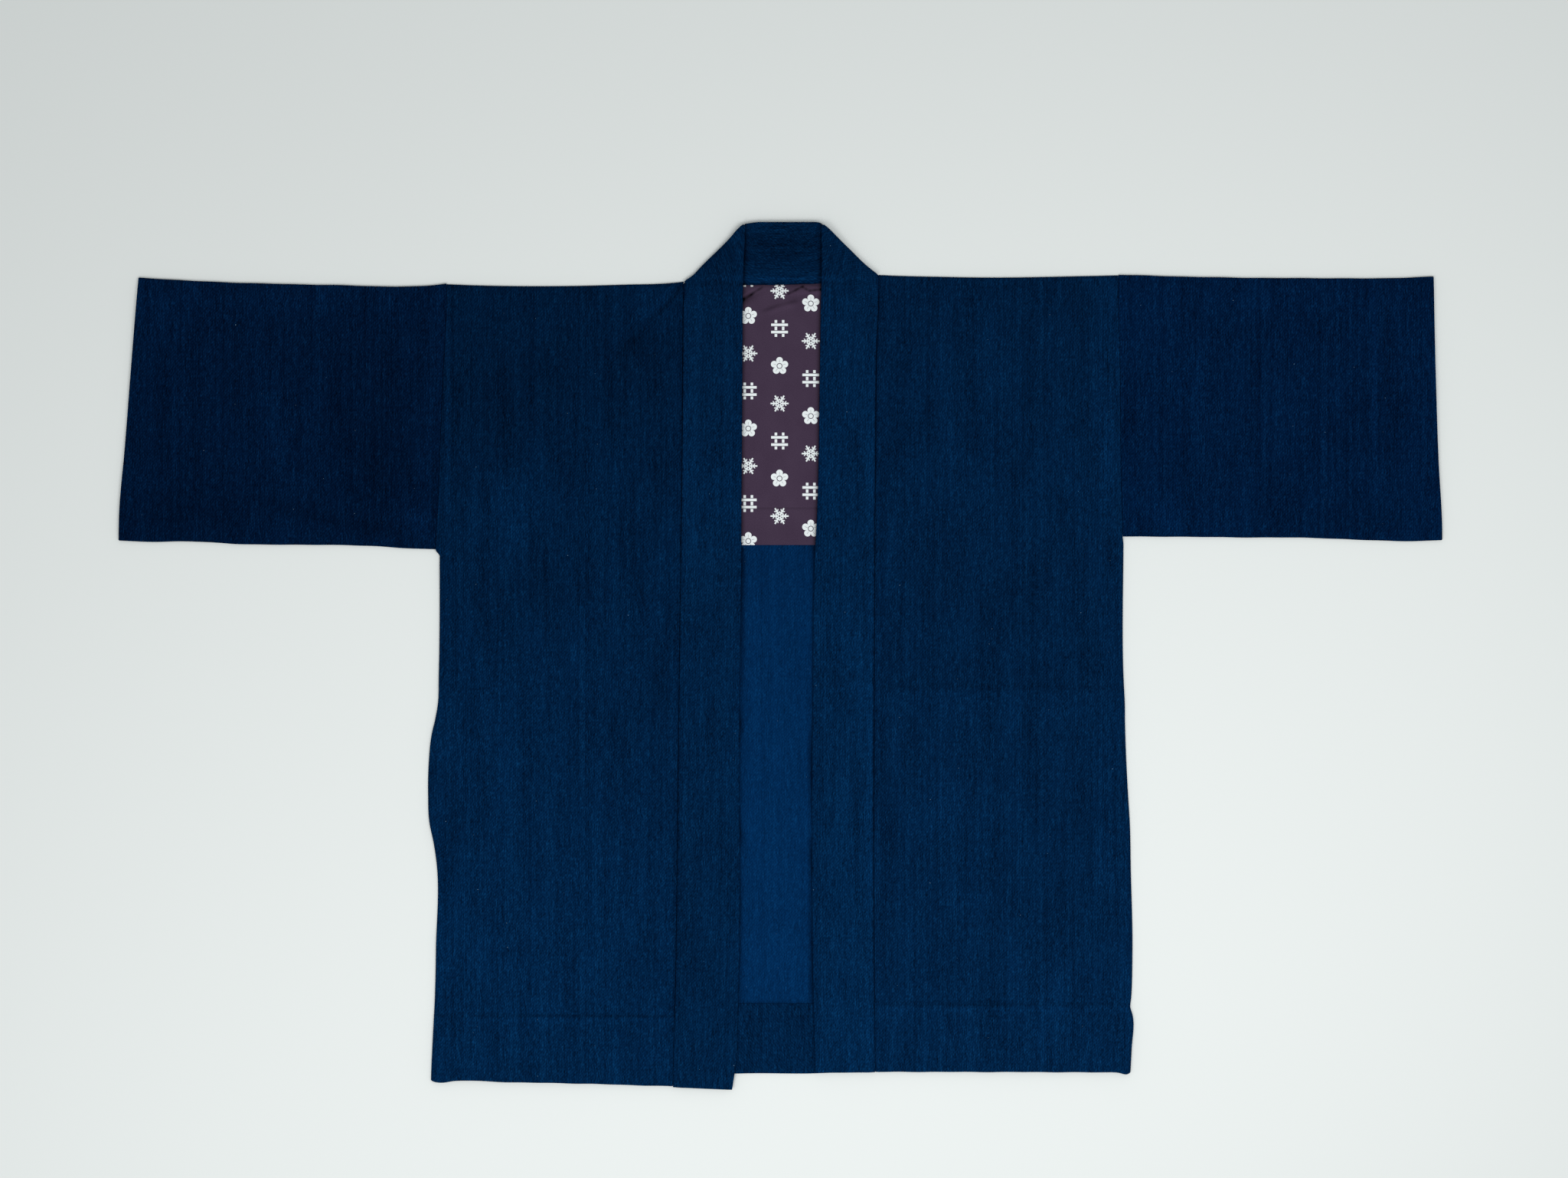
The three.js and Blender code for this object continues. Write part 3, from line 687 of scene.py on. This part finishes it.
FRONT_FOLDS = {
    "right": creases(
        (97, 366.8, 153.5, 307, 6, -0.3, -1.2), (112, 368, 166, 318, 8.5, 1.4, -2),
        (106, 330, 112, 250, 9, 1, 2), (250, 190, 330, 120, 16, 1.4, 6), (262, 120, 336, 86, 10, 1, -4),
        (180, 60, 290, 40, 18, -0.5, 6), (110, -34, 330, -30, 8, 0.6, 2),
        (140, -210, 220, -250, 10, 0.8, 5), (240, -300, 330, -286, 12, 0.9, -4),
        (230, 330, 238, 210, 14, 0.8, 5),
    ),
    "left": creases(
        (94, -35, 312, -34.5, 7.5, 1.1, 1), (94, -25, 312, -24, 6, -0.5, 1),
        (163, -253, 208, -234, 4.5, 1.2, 1), (149, -124, 179, -164, 15, 0.9, 2),
        (318, -174, 322, -243, 9, 1.4, 2), (306, -150, 300, -230, 7, -0.6, 2),
        (318, 322, 318, 133, 8, 0.7, 0), (110, 350, 170, 300, 11, 1, 5), (200, 120, 210, 10, 16, 0.7, 6),
        (220, -300, 300, -312, 11, 0.8, 3),
    ),
}
# Spots of tone, partly painted light: each front is darker towards the shoulders and lighter towards the
# hem, in part painted shade for light that falls off towards the top; painted highlights and shade along
# the armhole seams, on the hems' stitch lines and the strips below them, on both sides of the left front's
# crosswise crease and on the ripple at its side.
FRONT_TONES_AND_SHADE = {
    "right": spots(
        (200, 370, 300, 200, -0.32), (200, -320, 300, 150, 0.24), (238, 74, 60, 42, -0.16),
        (268, 139, 30, 36, 0.16), (331, 250, 2.2, 130, 0.22), (335, 240, 2.2, 150, -0.16),
        (200, -356.9, 150, 1.5, -0.3), (200, -360.6, 150, 2.2, 0.16), (200, -352, 150, 4, 0.08),
        (128, 338, 24, 24, 0.22), (220, 350, 130, 30, 0.12), (290, 240, 40, 60, -0.12),
        (275, -80, 60, 80, 0.13), (130, -320, 45, 60, -0.15), (125, -40, 20, 60, -0.12),
        (104, -200, 4, 200, -0.12), (330, -390, 12, 28, 0.1),
    ),
    "left": spots(
        (200, 370, 300, 160, -0.1), (200, -400, 300, 140, 0.16), (203, -20, 120, 15, -0.08),
        (203, -31.2, 120, 4, -0.11), (203, -39.2, 120, 4, 0.11), (203, -52, 120, 15, 0.07),
        (164, -144, 18, 24, 0.16), (170, -180, 50, 45, 0.18), (215, 60, 50, 45, -0.14),
        (280, -350, 60, 70, 0.12), (200, -320, 20, 40, -0.12), (321, 228, 10, 95, 0.26),
        (330, 342, 2.2, 34, 0.3), (333.5, 295, 2.8, 45, 0.42), (320, -208, 10, 34, 0.14),
        (306, -195, 7, 40, -0.14), (205, -345.8, 150, 1.5, -0.32), (205, -350, 150, 3.2, 0.22),
        (185, -240, 26, 8, 0.1), (342, -370, 6, 40, 0.14),
    ),
}
# Painted shade and highlights along the crease that runs down from the neck, and a painted highlight on a
# small crease of the left front.
FRONT_CREASE_SHADE = {
    "right": streaks(
        (96.5, 366.8, 119, 341, 2.1, -0.34, -0.4), (114, 346, 153.5, 305, 6, -0.15, -1),
        (104, 370, 140, 332, 3.6, 0.18, -1), (133, 330, 155, 290, 10, -0.12, 0),
    ),
    "left": streaks(
        (164, -255, 208, -236, 1.8, 0.14, 1),
    ),
}


def puckers(along, seed, pitch=0.011):
    """How much a seam pulls the cloth in from place to place, from 0 to 1."""
    draws = np.random.default_rng(seed)
    total = 0
    for k in range(4):
        turn = 2 * np.pi * along / (pitch * (1 + 0.7 * k))
        total = total + np.sin(turn + draws.uniform(0, 6)) / (1 + 0.4 * k)
    return np.clip(0.5 + 0.25 * total, 0, 1)


def front_points(side):
    hem = read(FRONT_EDGE, side, MIDDLE)
    shoulder = read(SHOULDER, side, MIDDLE)
    hem_top = hem + FRONT_HEM[side]
    armpit = UNDERARM[side] - 0.002
    flat_from = hem + LAYER
    low = (hem_top - 0.003, 24), (hem_top + 0.006, 12), (armpit - 0.012, 142)
    levels = spaced(flat_from, *low, (armpit + 0.006, 12), (0.300, 50), (shoulder, 48))
    quarter = np.linspace(0, np.pi / 2, 9)[1:]
    level = as_column(levels, 0 * quarter + shoulder)
    over_angle = as_column(0 * levels, quarter)
    flat = spaced(0, (0.05, 9), (0.30, 38), (0.93, 54), (1, 8))
    share = as_row(flat, 0 * quarter + 1)
    side_angle = as_row(0 * flat, quarter)

    sewn = smooth(level, armpit - 0.006, armpit)
    seam = read(BAND_SEAM, side, level) + SEAM_GAP
    edge_low = read(SIDE, side, level)
    edge = blend(edge_low, read(ARMHOLE, side, level) - GAP / 2, sewn)
    nearby = blend(seam, edge, share)
    layers = LAYER * (2 - smooth(level, hem_top, hem_top + HEM_STEP))
    height = under_front(side, nearby, level) + layers
    turned = blend(np.sin(side_angle), side_angle / (np.pi / 2), sewn)
    out = blend(seam, edge - height, share) + height * turned
    hem_shift = read(FRONT_EDGE, side, out) - hem
    shoulder_shift = read(SHOULDER, side, out) - shoulder
    rise = (level - hem) / (shoulder - hem)
    y = level + blend(hem_shift, shoulder_shift, rise)
    from_seam, from_edge = out - seam, np.maximum(edge - out, 0)
    free = smooth(from_seam, 0, 0.016) * smooth(blend(1.0, from_edge, sewn), 0, 0.016)
    relief = creased(FRONT_FOLDS[side], out, y) + drift(out, y, 0.0011, seed=21 + len(side))
    height = height + free * relief
    pulled = 0.0005 + 0.0004 * puckers(y, 31)
    height = height - pulled * bell(from_seam, PULLED_WIDTH)
    height = height - sewn * pulled * bell(from_edge, PULLED_WIDTH)
    allowance = smooth(from_edge, 0.002, 0.004) * (1 - smooth(from_edge, 0.012, 0.016))
    height = height + 0.0005 * sewn * allowance
    pinched = bell(level - hem_top - STITCH_IN, 0.0012)
    height = height - pinched * (0.0002 + 0.0005 * puckers(out, 41, HEM_STITCH))
    low_edge = 0.0005 * (puckers(out, 51, 0.035) - 0.5) * (1 - smooth(level, hem, hem + 0.02))
    y = y + low_edge + 0.0003 * (puckers(out, 61, 0.05) - 0.5) * smooth(level, 0.30, 0.37)
    z = blend(height * np.cos(side_angle), height, sewn)
    folded = read(SHOULDER, side, out) - z * (1 - np.sin(over_angle))
    y = np.where(over_angle > 0, folded, y - z * smooth(level, shoulder - 0.02, shoulder))
    z = z * np.cos(over_angle)
    return np.stack([out, y, z], -1), level


def hemmed(outer, turned_up, layers):
    """Rows of points for the middle of cloth whose outer face is given: its first rows are
    folded under at the edge, and the fold is `layers` thick from outer face to outer face. With
    them comes how many rows are folded under."""
    depth_in = CLOTH / 2
    along, across = np.gradient(outer, axis=(0, 1))
    facing = np.cross(across, along)
    facing /= np.linalg.norm(facing, axis=-1, keepdims=True)
    ahead = along[:1] / np.linalg.norm(along[:1], axis=-1, keepdims=True)
    top = outer - facing * depth_in
    roll = (layers - 2 * depth_in) / 2
    angles = np.linspace(np.pi, 0, 8)[1:-1, None, None]
    centre = top[:1] - facing[:1] * roll
    fold = centre + roll * (facing[:1] * np.cos(angles) - ahead * np.sin(angles))
    under = (outer - facing * (layers - depth_in))[:turned_up][::-1]
    return np.concatenate([under, fold, top]), len(under) + len(angles)


def lay_side(name, way_out, points, threads, tone, tube=False):
    """Lay a piece of one side. It is given as it lies at the left and mirrored for the right."""
    if way_out < 0:
        points, threads, tone = points[:, ::-1], threads[:, ::-1], tone[:, ::-1]
    mirror = np.array([way_out, 1, 1])
    return lay_cloth(name, points * mirror, threads * mirror[:2], tone, tube=tube)


FRONT_DYE = {"right": (0.0004, 0.0118, 0.0432), "left": (0.0005, 0.0121, 0.0440)}
FRONT_SLUB = (0.0030, 0.036, 0.098)
for side, way_out in WAY_OUT.items():
    outer, level = front_points(side)
    hem_top = read(FRONT_EDGE, side, MIDDLE) + FRONT_HEM[side]
    turned_up = int((level[:, 0] < hem_top).sum())
    points = hemmed(outer, turned_up, 2 * LAYER)[0]
    points[..., 2] = np.maximum(points[..., 2], 0)
    x, y, z = (points[..., k] for k in range(3))
    # Tone from spots, some of them painted light, and from the painted shade and highlights of creases.
    tone = 1 + toned(FRONT_TONES_AND_SHADE[side], x, y) + creased(FRONT_CREASE_SHADE[side], x, y)
    threads = np.stack([unrolled(x[:, :1], x, z, 1), unrolled(y[:1], y, z, 0)], -1)
    front = lay_side(f"front_panel_{side}", way_out, points, threads, tone)
    cotton = indigo(f"indigo cotton, {side} front", FRONT_DYE[side], FRONT_SLUB)
    finish(front, cotton)
    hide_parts(f"front_{side}")

    out = np.arange(0.112, 0.334, HEM_STITCH)
    stitch_y = read(FRONT_EDGE, side, out) + FRONT_HEM[side] + STITCH_IN
    height = under_front(side, out, stitch_y) + 1.6 * LAYER - 0.0003  # sunk where they pull
    places = np.stack([way_out * out, stitch_y, height], -1)
    stitches = sew(f"hem_stitches_{side}", places, (0.4, 1.0), 0.0015, 0.00032)
    finish(stitches, dark_thread)

# -------- the two sleeves
# Each sleeve is one straight width of the cotton, folded along its top and sewn along the
# underarm into a wide flat tube. It is sewn to the body at the armhole, and its open end is
# turned in.

SLEEVE_HEIGHT = 0.003
CUFF_LAYERS = 0.00145  # the wall at the cuff, whose edge is turned in
CUFF_HEM = {"right": 0.048, "left": 0.062}
SLEEVE_TOP = table(
    "out right left",
    (330, 369.4, 378), (352, 366.8, 377.4), (378, 366.2, 376.6), (440, 367.6, 375.2), (534, 369.8, 374.4),
    (625, 374.2, 375), (660, 376.4, 376.8),
)
SLEEVE_UNDER = table(
    "out right left",
    (330, 105.5, 118.4), (367, 106.2, 118), (397, 108.4, 118), (443, 109.8, 117.4), (534, 110.6, 116.6),
    (584, 113.3, 114.6), (636, 113, 113.6), (660, 114.6, 115),
)
CUFF = table(
    "y right left",
    (376, 636.2, 648), (285, 643.6, 649.8), (195, 650.6, 652.8), (130, 656, 656.3), (105, 656.6, 656.6),
)
SLEEVE_FOLDS = {
    "right": creases(
        (368, 146, 350, 118, 6, 1.6, 2), (380, 170, 372, 136, 6, 1.2, 2), (362, 168, 356, 128, 5, -0.8, -2),
        (420, 150, 390, 116, 9, 1.2, 4), (470, 330, 500, 200, 16, 1.1, 10),
        (560, 300, 570, 170, 14, 0.9, 6), (600, 372, 604, 112, 3, 0.5, 1), (360, 350, 430, 300, 12, 0.9, 4),
        (440, 120, 560, 126, 8, 0.6, 3),
    ),
    "left": creases(
        (587, 374, 591, 116, 3, 0.7, 0.8), (350, 150, 392, 122, 8, 1.2, 4), (352, 330, 420, 280, 12, 1, 5),
        (450, 360, 440, 230, 16, 0.9, 6), (520, 240, 540, 130, 14, 1, 5), (620, 330, 630, 180, 10, 0.7, 4),
    ),
}
# Spots of tone, and painted light: a painted highlight along the left sleeve's pressed fold with painted
# shade beside it, and painted highlights on the creases near the right armhole.
SLEEVE_TONES_AND_SHADE = {
    "right": spots(
        (376, 154, 6, 18, 0.2), (358, 132, 8, 14, 0.22), (352, 172, 10, 40, 0.12),
        (450, 230, 60, 80, -0.12), (390, 190, 30, 40, -0.14), (590, 325, 50, 50, 0.14),
        (640, 350, 30, 60, 0.1), (480, 352, 160, 18, 0.18), (600, 140, 45, 22, -0.22),
        (480, 225, 45, 60, 0.16), (403, 240, 16, 70, -0.14), (366, 135, 16, 16, 0.2),
    ),
    "left": spots(
        (589, 250, 1.6, 140, 0.26), (583, 250, 4, 140, -0.08), (450, 250, 60, 100, -0.05),
        (640, 250, 20, 150, 0.06), (480, 352, 160, 18, 0.11), (388, 140, 30, 22, 0.22),
        (550, 135, 40, 24, -0.15), (406, 270, 20, 40, 0.14),
    ),
}
# Painted shade and highlights along creases of the sleeves.
SLEEVE_CREASE_SHADE = {
    "right": streaks(
        (500, 150, 400, 124, 9, -0.2, 1), (460, 130, 390, 113, 6, 0.1, 1),
        (343, 196, 344, 124, 1.6, -0.26, 0.4), (364, 156, 353, 118, 4, 0.16, 1),
    ),
    "left": streaks(
        (356, 150, 390, 124, 6, 0.14, 2), (350, 144, 384, 120, 4, -0.14, 2),
    ),
}


def sleeve_points(side):
    half = SLEEVE_HEIGHT / 2
    upper = spaced(0, (0.03, 5), (0.97, 72), (1, 5))
    turn = np.linspace(0, np.pi, 11)[1:-1]
    lower = np.linspace(0, 1, 46)
    share = as_row(upper, 0 * turn + 1, 1 - lower, 0 * turn, upper[:1])
    beyond = half * np.sin(turn)
    past = as_row(0 * upper, beyond, 0 * lower, -beyond, [0])
    rest = as_row(0 * upper + 1, np.cos(turn), 0 * lower - 1, -np.cos(turn), [1])
    way = spaced(0, (0.03, 8), (0.8, 78), (1, 34))[::-1, None]
    level = blend(UNDERARM[side], SLEEVE_TOP[side][1], share)
    seam = read(ARMHOLE, side, level) + GAP / 2
    out = blend(seam, read(CUFF, side, level) - CUFF_LAYERS / 2, way)
    under = read(SLEEVE_UNDER, side, out) + half
    top = read(SLEEVE_TOP, side, out) - half
    y = blend(under, top, share) + past
    from_seam = out - seam
    on_top = (rest > 0.99) * 1.0
    edges = smooth(y - under, 0, 0.012) * smooth(top - y, 0, 0.012)
    free = smooth(from_seam, 0, 0.014) * edges * on_top
    relief = creased(SLEEVE_FOLDS[side], out, y) + drift(out, y, 0.0012, seed=71 + len(side))
    pulled = 0.0004 + 0.0004 * puckers(y, 81)
    z = half + half * rest + free * relief
    z = z - on_top * pulled * bell(from_seam, PULLED_WIDTH)
    y = y + 0.0004 * (puckers(out, 91, 0.04) - 0.5) * (np.abs(share - 0.5) * 2) ** 8
    cuff_line = read(CUFF, side, level) - CUFF_HEM[side]
    z = z - on_top * edges * 0.0003 * bell(out - cuff_line, 0.0015)
    return np.stack([out + 0 * y, y, z], -1)


# The right sleeve is coloured darker than the left: painted shade for light that falls off towards that
# side, on top of the dye.
SLEEVE_DYE_AND_SHADE = {"right": (0.0003, 0.0068, 0.0276), "left": (0.0003, 0.0086, 0.0356)}
SLEEVE_SLUB_AND_SHADE = {"right": (0.0024, 0.026, 0.078), "left": (0.0028, 0.032, 0.092)}
for side, way_out in WAY_OUT.items():
    outer = sleeve_points(side)
    from_cuff = np.abs(outer[:, 40, 0] - outer[0, 40, 0])
    turned_in = int((from_cuff < CUFF_HEM[side]).sum())
    points, before = hemmed(outer, turned_in, CUFF_LAYERS)
    x, y, z = (points[..., k] for k in range(3))
    upper = smooth(z, 0.0015, 0.0022)
    # Spots of tone and painted light, with the painted shade and highlights of creases.
    marks = toned(SLEEVE_TONES_AND_SHADE[side], x, y) + creased(SLEEVE_CREASE_SHADE[side], x, y)
    tone = 1 + upper * marks
    u = unrolled(0 * x[:1], x, z * 0, 0)
    threads = np.stack([x[before] + u[before] - u, unrolled(y[:, :1], y, z, 1)], -1)
    sleeve = lay_side(f"sleeve_tube_{side}", way_out, points, threads, tone, tube=True)
    cotton = indigo(f"indigo cotton, {side} sleeve", SLEEVE_DYE_AND_SHADE[side], SLEEVE_SLUB_AND_SHADE[side])
    finish(sleeve, cotton)
    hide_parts(f"sleeve_{side}")

# -------- the collar band
# One long straight band of the cotton, folded lengthwise over the seam edges that stiffen it.
# It runs up one front, folds over at the neck corner, passes behind the neck with its other face
# up, and runs down the other front.

BAND = 0.003
NECK_EDGE = 0.4298
BAND_END = {"right": -0.4298, "left": -0.4130}
FOLD_INSET = table(
    "share right left",
    (0, 0, 0.4), (0.12, 2.2, 1.6), (0.25, 2.1, 2.3), (0.45, 2.4, 2.3), (0.6, 2.8, 2.4), (0.76, 2.9, 2.4),
    (0.92, 2.2, 2.4), (1, 2.7, 2.9),
)
NECK_CORNER = {
    "right": {"shoulder": (0.0958, 0.3713), "neck": (0.0388, NECK_EDGE), "blunt": 1.5},
    "left": {"shoulder": (0.0973, 0.3781), "neck": (0.0448, NECK_EDGE), "blunt": 7},
}


def band_height(y):
    """The height of the band's middle down a front: on the lining, the back and its hem."""
    bottom = LINING_PLACE["bottom"]
    on_lining = (LINING_STACK + GAP) * smooth(y, bottom - 0.026, bottom - 0.002)
    on_hem = LAYER * (1 - smooth(y, BACK_HEM_TOP + 0.002, BACK_HEM_TOP + 0.020))
    return LAYER + GAP + on_lining + on_hem + BAND / 2


def rulings(side):
    """Straight lines across the band, from its seam to its free edge, from the hem to the middle
    of the back of the neck: the two ends of each, the way its outer face looks there, and the
    way the neck's fold is drawn in there."""
    FOLD_FROM = 0.345  # up to here the band lies straight, and from here it turns to its fold
    SLANT_LENGTH = 0.066  # over this length its slanting lower end evens out
    SQUARE_AT = 0.020  # how far out the band is square again behind the neck
    sign = WAY_OUT[side]
    up = np.array([0.0, 0.0, 1.0])
    hem = BAND_END[side]
    end_slant = read(FRONT_EDGE, side, 0.092) - hem
    level = spaced(hem, (hem + 0.004, 5), (FOLD_FROM, 250))
    slant = end_slant * np.maximum(0, 1 - (level - hem) / SLANT_LENGTH)
    height = band_height(level)
    seam = np.stack([read(BAND_SEAM, side, level), level + slant, height], -1)
    edge = np.stack([read(BAND_EDGE, side, level), level, height], -1)
    facing = np.tile(up, (len(level), 1))

    lower = BAND / 2
    bend = (BAND + GAP) / 2
    low = np.array([*NECK_CORNER[side]["shoulder"], lower + bend])
    high = np.array([*NECK_CORNER[side]["neck"], lower + bend])
    outward = np.cross(high - low, up)
    outward /= np.linalg.norm(outward)
    low = low - outward * (bend + BAND / 2)
    high = high - outward * (bend + BAND / 2)
    share = np.linspace(0, 1, 25)[1:-1, None]
    angle = np.linspace(0, np.pi, 17)[:, None]
    seam_up = blend(seam[-1], low + up * bend, share)
    edge_up = blend(edge[-1], high + up * bend, share)
    drawn = [0 * level[:, None], share**2, 0 * angle + 1]
    turn = up * np.cos(angle) + outward * np.sin(angle)
    seam = np.concatenate([seam, seam_up, low + turn * bend])
    edge = np.concatenate([edge, edge_up, high + turn * bend])
    facing = np.concatenate([facing, np.tile(up, (len(share), 1)), turn])

    share = np.linspace(0, 1, 33)[1:]
    seam_out = blend(low[0], SQUARE_AT, share)
    seam_y = read(NECK_SEAM, "y", sign * seam_out)
    edge_out = blend(high[0], SQUARE_AT, share)
    flat = np.full_like(share, lower)
    seam = np.concatenate([seam, np.stack([seam_out, seam_y, flat], -1)])
    edge = np.concatenate([edge, np.stack([edge_out, 0 * flat + NECK_EDGE, flat], -1)])
    facing = np.concatenate([facing, np.tile(-up, (len(share), 1))])
    drawn = np.concatenate([*drawn, (1 - share[:, None]) ** NECK_CORNER[side]["blunt"]]) * -outward
    mirror = np.array([sign, 1, 1])
    return seam * mirror, edge * mirror, facing * mirror, drawn * mirror


def collar_points():
    ROUND_OVER = 0.03  # the share of the band's width over which its edges round off
    NECK_LIFT = 0.003  # how far the fold at the back of the neck stands off the table
    parts = [rulings("right"), [values[::-1] for values in rulings("left")]]
    middle = [0.5 * (parts[0][k][-1:] + parts[1][k][:1]) for k in range(4)]
    joined = [np.concatenate([parts[0][k], middle[k], parts[1][k]]) for k in range(4)]
    seam, edge, facing, drawn = joined
    across = spaced(0, (0.05, 6), (0.95, 20), (1, 8))
    thinnest = np.array([0.3, 0.1])[:, None]  # how thick the band is left at its seam and its fold
    from_ends = np.stack([across, 1 - across]) / ROUND_OVER
    rounded = blend(thinnest, 1, np.sqrt(1 - np.clip(1 - from_ends, 0, 1) ** 2))
    half = (BAND - CLOTH) / 2 * rounded.min(axis=0)
    round_across = as_row(across, across[::-1])
    round_half = as_row(half, -half[::-1])
    width = np.linalg.norm(edge - seam, axis=1)[:, None]
    off_seam = round_across * width
    line = blend(seam[:, None], edge[:, None], (round_across * (1 - CLOTH / 2 / width))[..., None])
    centre = 0.5 * (seam + edge)
    length = np.concatenate([[0], np.cumsum(np.linalg.norm(np.diff(centre, axis=0), axis=1))])
    along = length[:, None] + 0 * round_half
    ends = np.minimum(along, length[-1] - along)
    closing = 0.25 + 0.75 * np.sqrt(smooth(ends, -0.0003, 0.0016))
    inset = [read(FOLD_INSET, side, round_across) for side in WAY_OUT]
    inset = np.where(centre[:, :1] < 0, *inset)
    quiet = 1 - np.linalg.norm(drawn, axis=1)[:, None]
    wave = drift(off_seam * 2.0, along, 0.0009, seed=101, longest=0.17)
    ridge = 0.00045 * smooth(off_seam, 0.002, 0.004) * (1 - smooth(off_seam, 0.009, 0.012))
    body = smooth(off_seam, 0.001, 0.008) * smooth(width - off_seam, 0.0, 0.006)
    shown = round_half * facing[:, None, 2] > 0
    relief = (wave * body + ridge) * quiet * shown * np.sign(round_half)
    points = line + facing[:, None] * (round_half * closing + relief)[..., None]
    points = points + drawn[:, None] * inset[..., None]
    lifted = NECK_LIFT * smooth(points[..., 1], 0.395, NECK_EDGE)
    points[..., 2] = np.maximum(points[..., 2], 0.0) + lifted
    threads = np.stack([np.where(round_half > 0, off_seam, 2 * width - off_seam), along], -1)
    behind_neck = smooth(-facing[:, None, 2], 0.5, 1.0)
    return points, threads, behind_neck * shown, length[-1]


# Spots of tone, and painted light: highlights on the ridges just inside both seams with the fronts, the
# crosswise crease painted darker above and lighter below, and a highlight on the stitched ridge across the
# back of the neck.
COLLAR_TONES_AND_SHADE = spots(
    (-94, 210, 3, 150, 0.14), (88.8, -120, 3.2, 280, 0.28), (-101, -200, 2, 200, -0.12),
    (65, -21, 30, 5, -0.14), (65, -33, 30, 5, 0.1), (0, 400, 110, 30, -0.29), (0, 374, 80, 2, 0.34),
    (0, 368.4, 80, 1.2, -0.4), (0, 406, 80, 1.4, -0.16), (65, -360, 50, 80, 0.12),
    (-70, -300, 50, 100, -0.06), (-66, 240, 40, 180, -0.08), (63, -200, 40, 300, 0.06),
    (-60, 165, 20, 50, 0.22), (60, 20, 18, 45, 0.18), (78, -200, 14, 60, 0.14), (68, -400, 30, 40, 0.1),
    (-70, 290, 40, 50, -0.08),
)
points, threads, behind_neck, band_length = collar_points()
x, y = points[..., 0], points[..., 1]
# Tone from spots, less the painted shadow along the collar's inner edges behind the neck.
tone = 1 + toned(COLLAR_TONES_AND_SHADE, x, y) - BAND_SHADOW * behind_neck * beside_band(x, y, 0.0034)
collar = lay_cloth("collar_band", points, threads, tone)
COLLAR_DYE = (0.0005, 0.0136, 0.0488)
COLLAR_SLUB = (0.0030, 0.038, 0.102)
finish(collar, indigo("indigo cotton, collar", COLLAR_DYE, COLLAR_SLUB))
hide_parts("collar")

# -------- the floor, the light, the camera
# A plain pale table under soft studio light from the lower side, seen from straight above.

bm = bmesh.new()
bmesh.ops.create_grid(bm, x_segments=2, y_segments=2, size=5)
bmesh.ops.translate(bm, verts=bm.verts, vec=(0, 0, -0.0002))
floor = place_mesh("floor", bm)
floor.data.materials.append(matt("pale table", 0.9, 0.1, (0.79, 0.82, 0.81))[0])


def softbox(name, position, target, size, power):
    """A round soft light that looks from its position at its target."""
    light = bpy.data.lights.new(name, "AREA")
    light.shape = "DISK"
    light.size = size
    light.energy = power
    lamp = place(name, light)
    lamp.location = position
    x, y, z = np.array(target) - np.array(position)
    lamp.rotation_euler = (np.arctan2(np.hypot(x, y), -z), 0, np.arctan2(y, x) - np.pi / 2)


softbox("key", (0.6, -0.3, 1.5), (0.18, -0.09, 0), 0.9, 9.0)
softbox("fill", (-0.6, -0.8, 1.5), (-0.18, -0.24, 0), 0.9, 8.2)

scene = bpy.context.scene
scene.view_settings.view_transform = "Standard"
world = bpy.data.worlds.new("studio")
scene.world = world
world.use_nodes = True
sky = world.node_tree.nodes["Background"].inputs
sky["Color"].default_value = (0.97, 1.0, 1.0, 1)
sky["Strength"].default_value = 0.545

VIEW_WIDTH = 1.5565  # of the table, across the picture
CAMERA_HEIGHT = 3.0
SENSOR = 36
camera_data = bpy.data.cameras.new("camera")
camera_data.sensor_fit = "HORIZONTAL"
camera_data.sensor_width = SENSOR
camera_data.lens = SENSOR * CAMERA_HEIGHT / VIEW_WIDTH
camera = place("camera", camera_data)
camera.location = (0.0035, 0.0662, CAMERA_HEIGHT)
scene.camera = camera
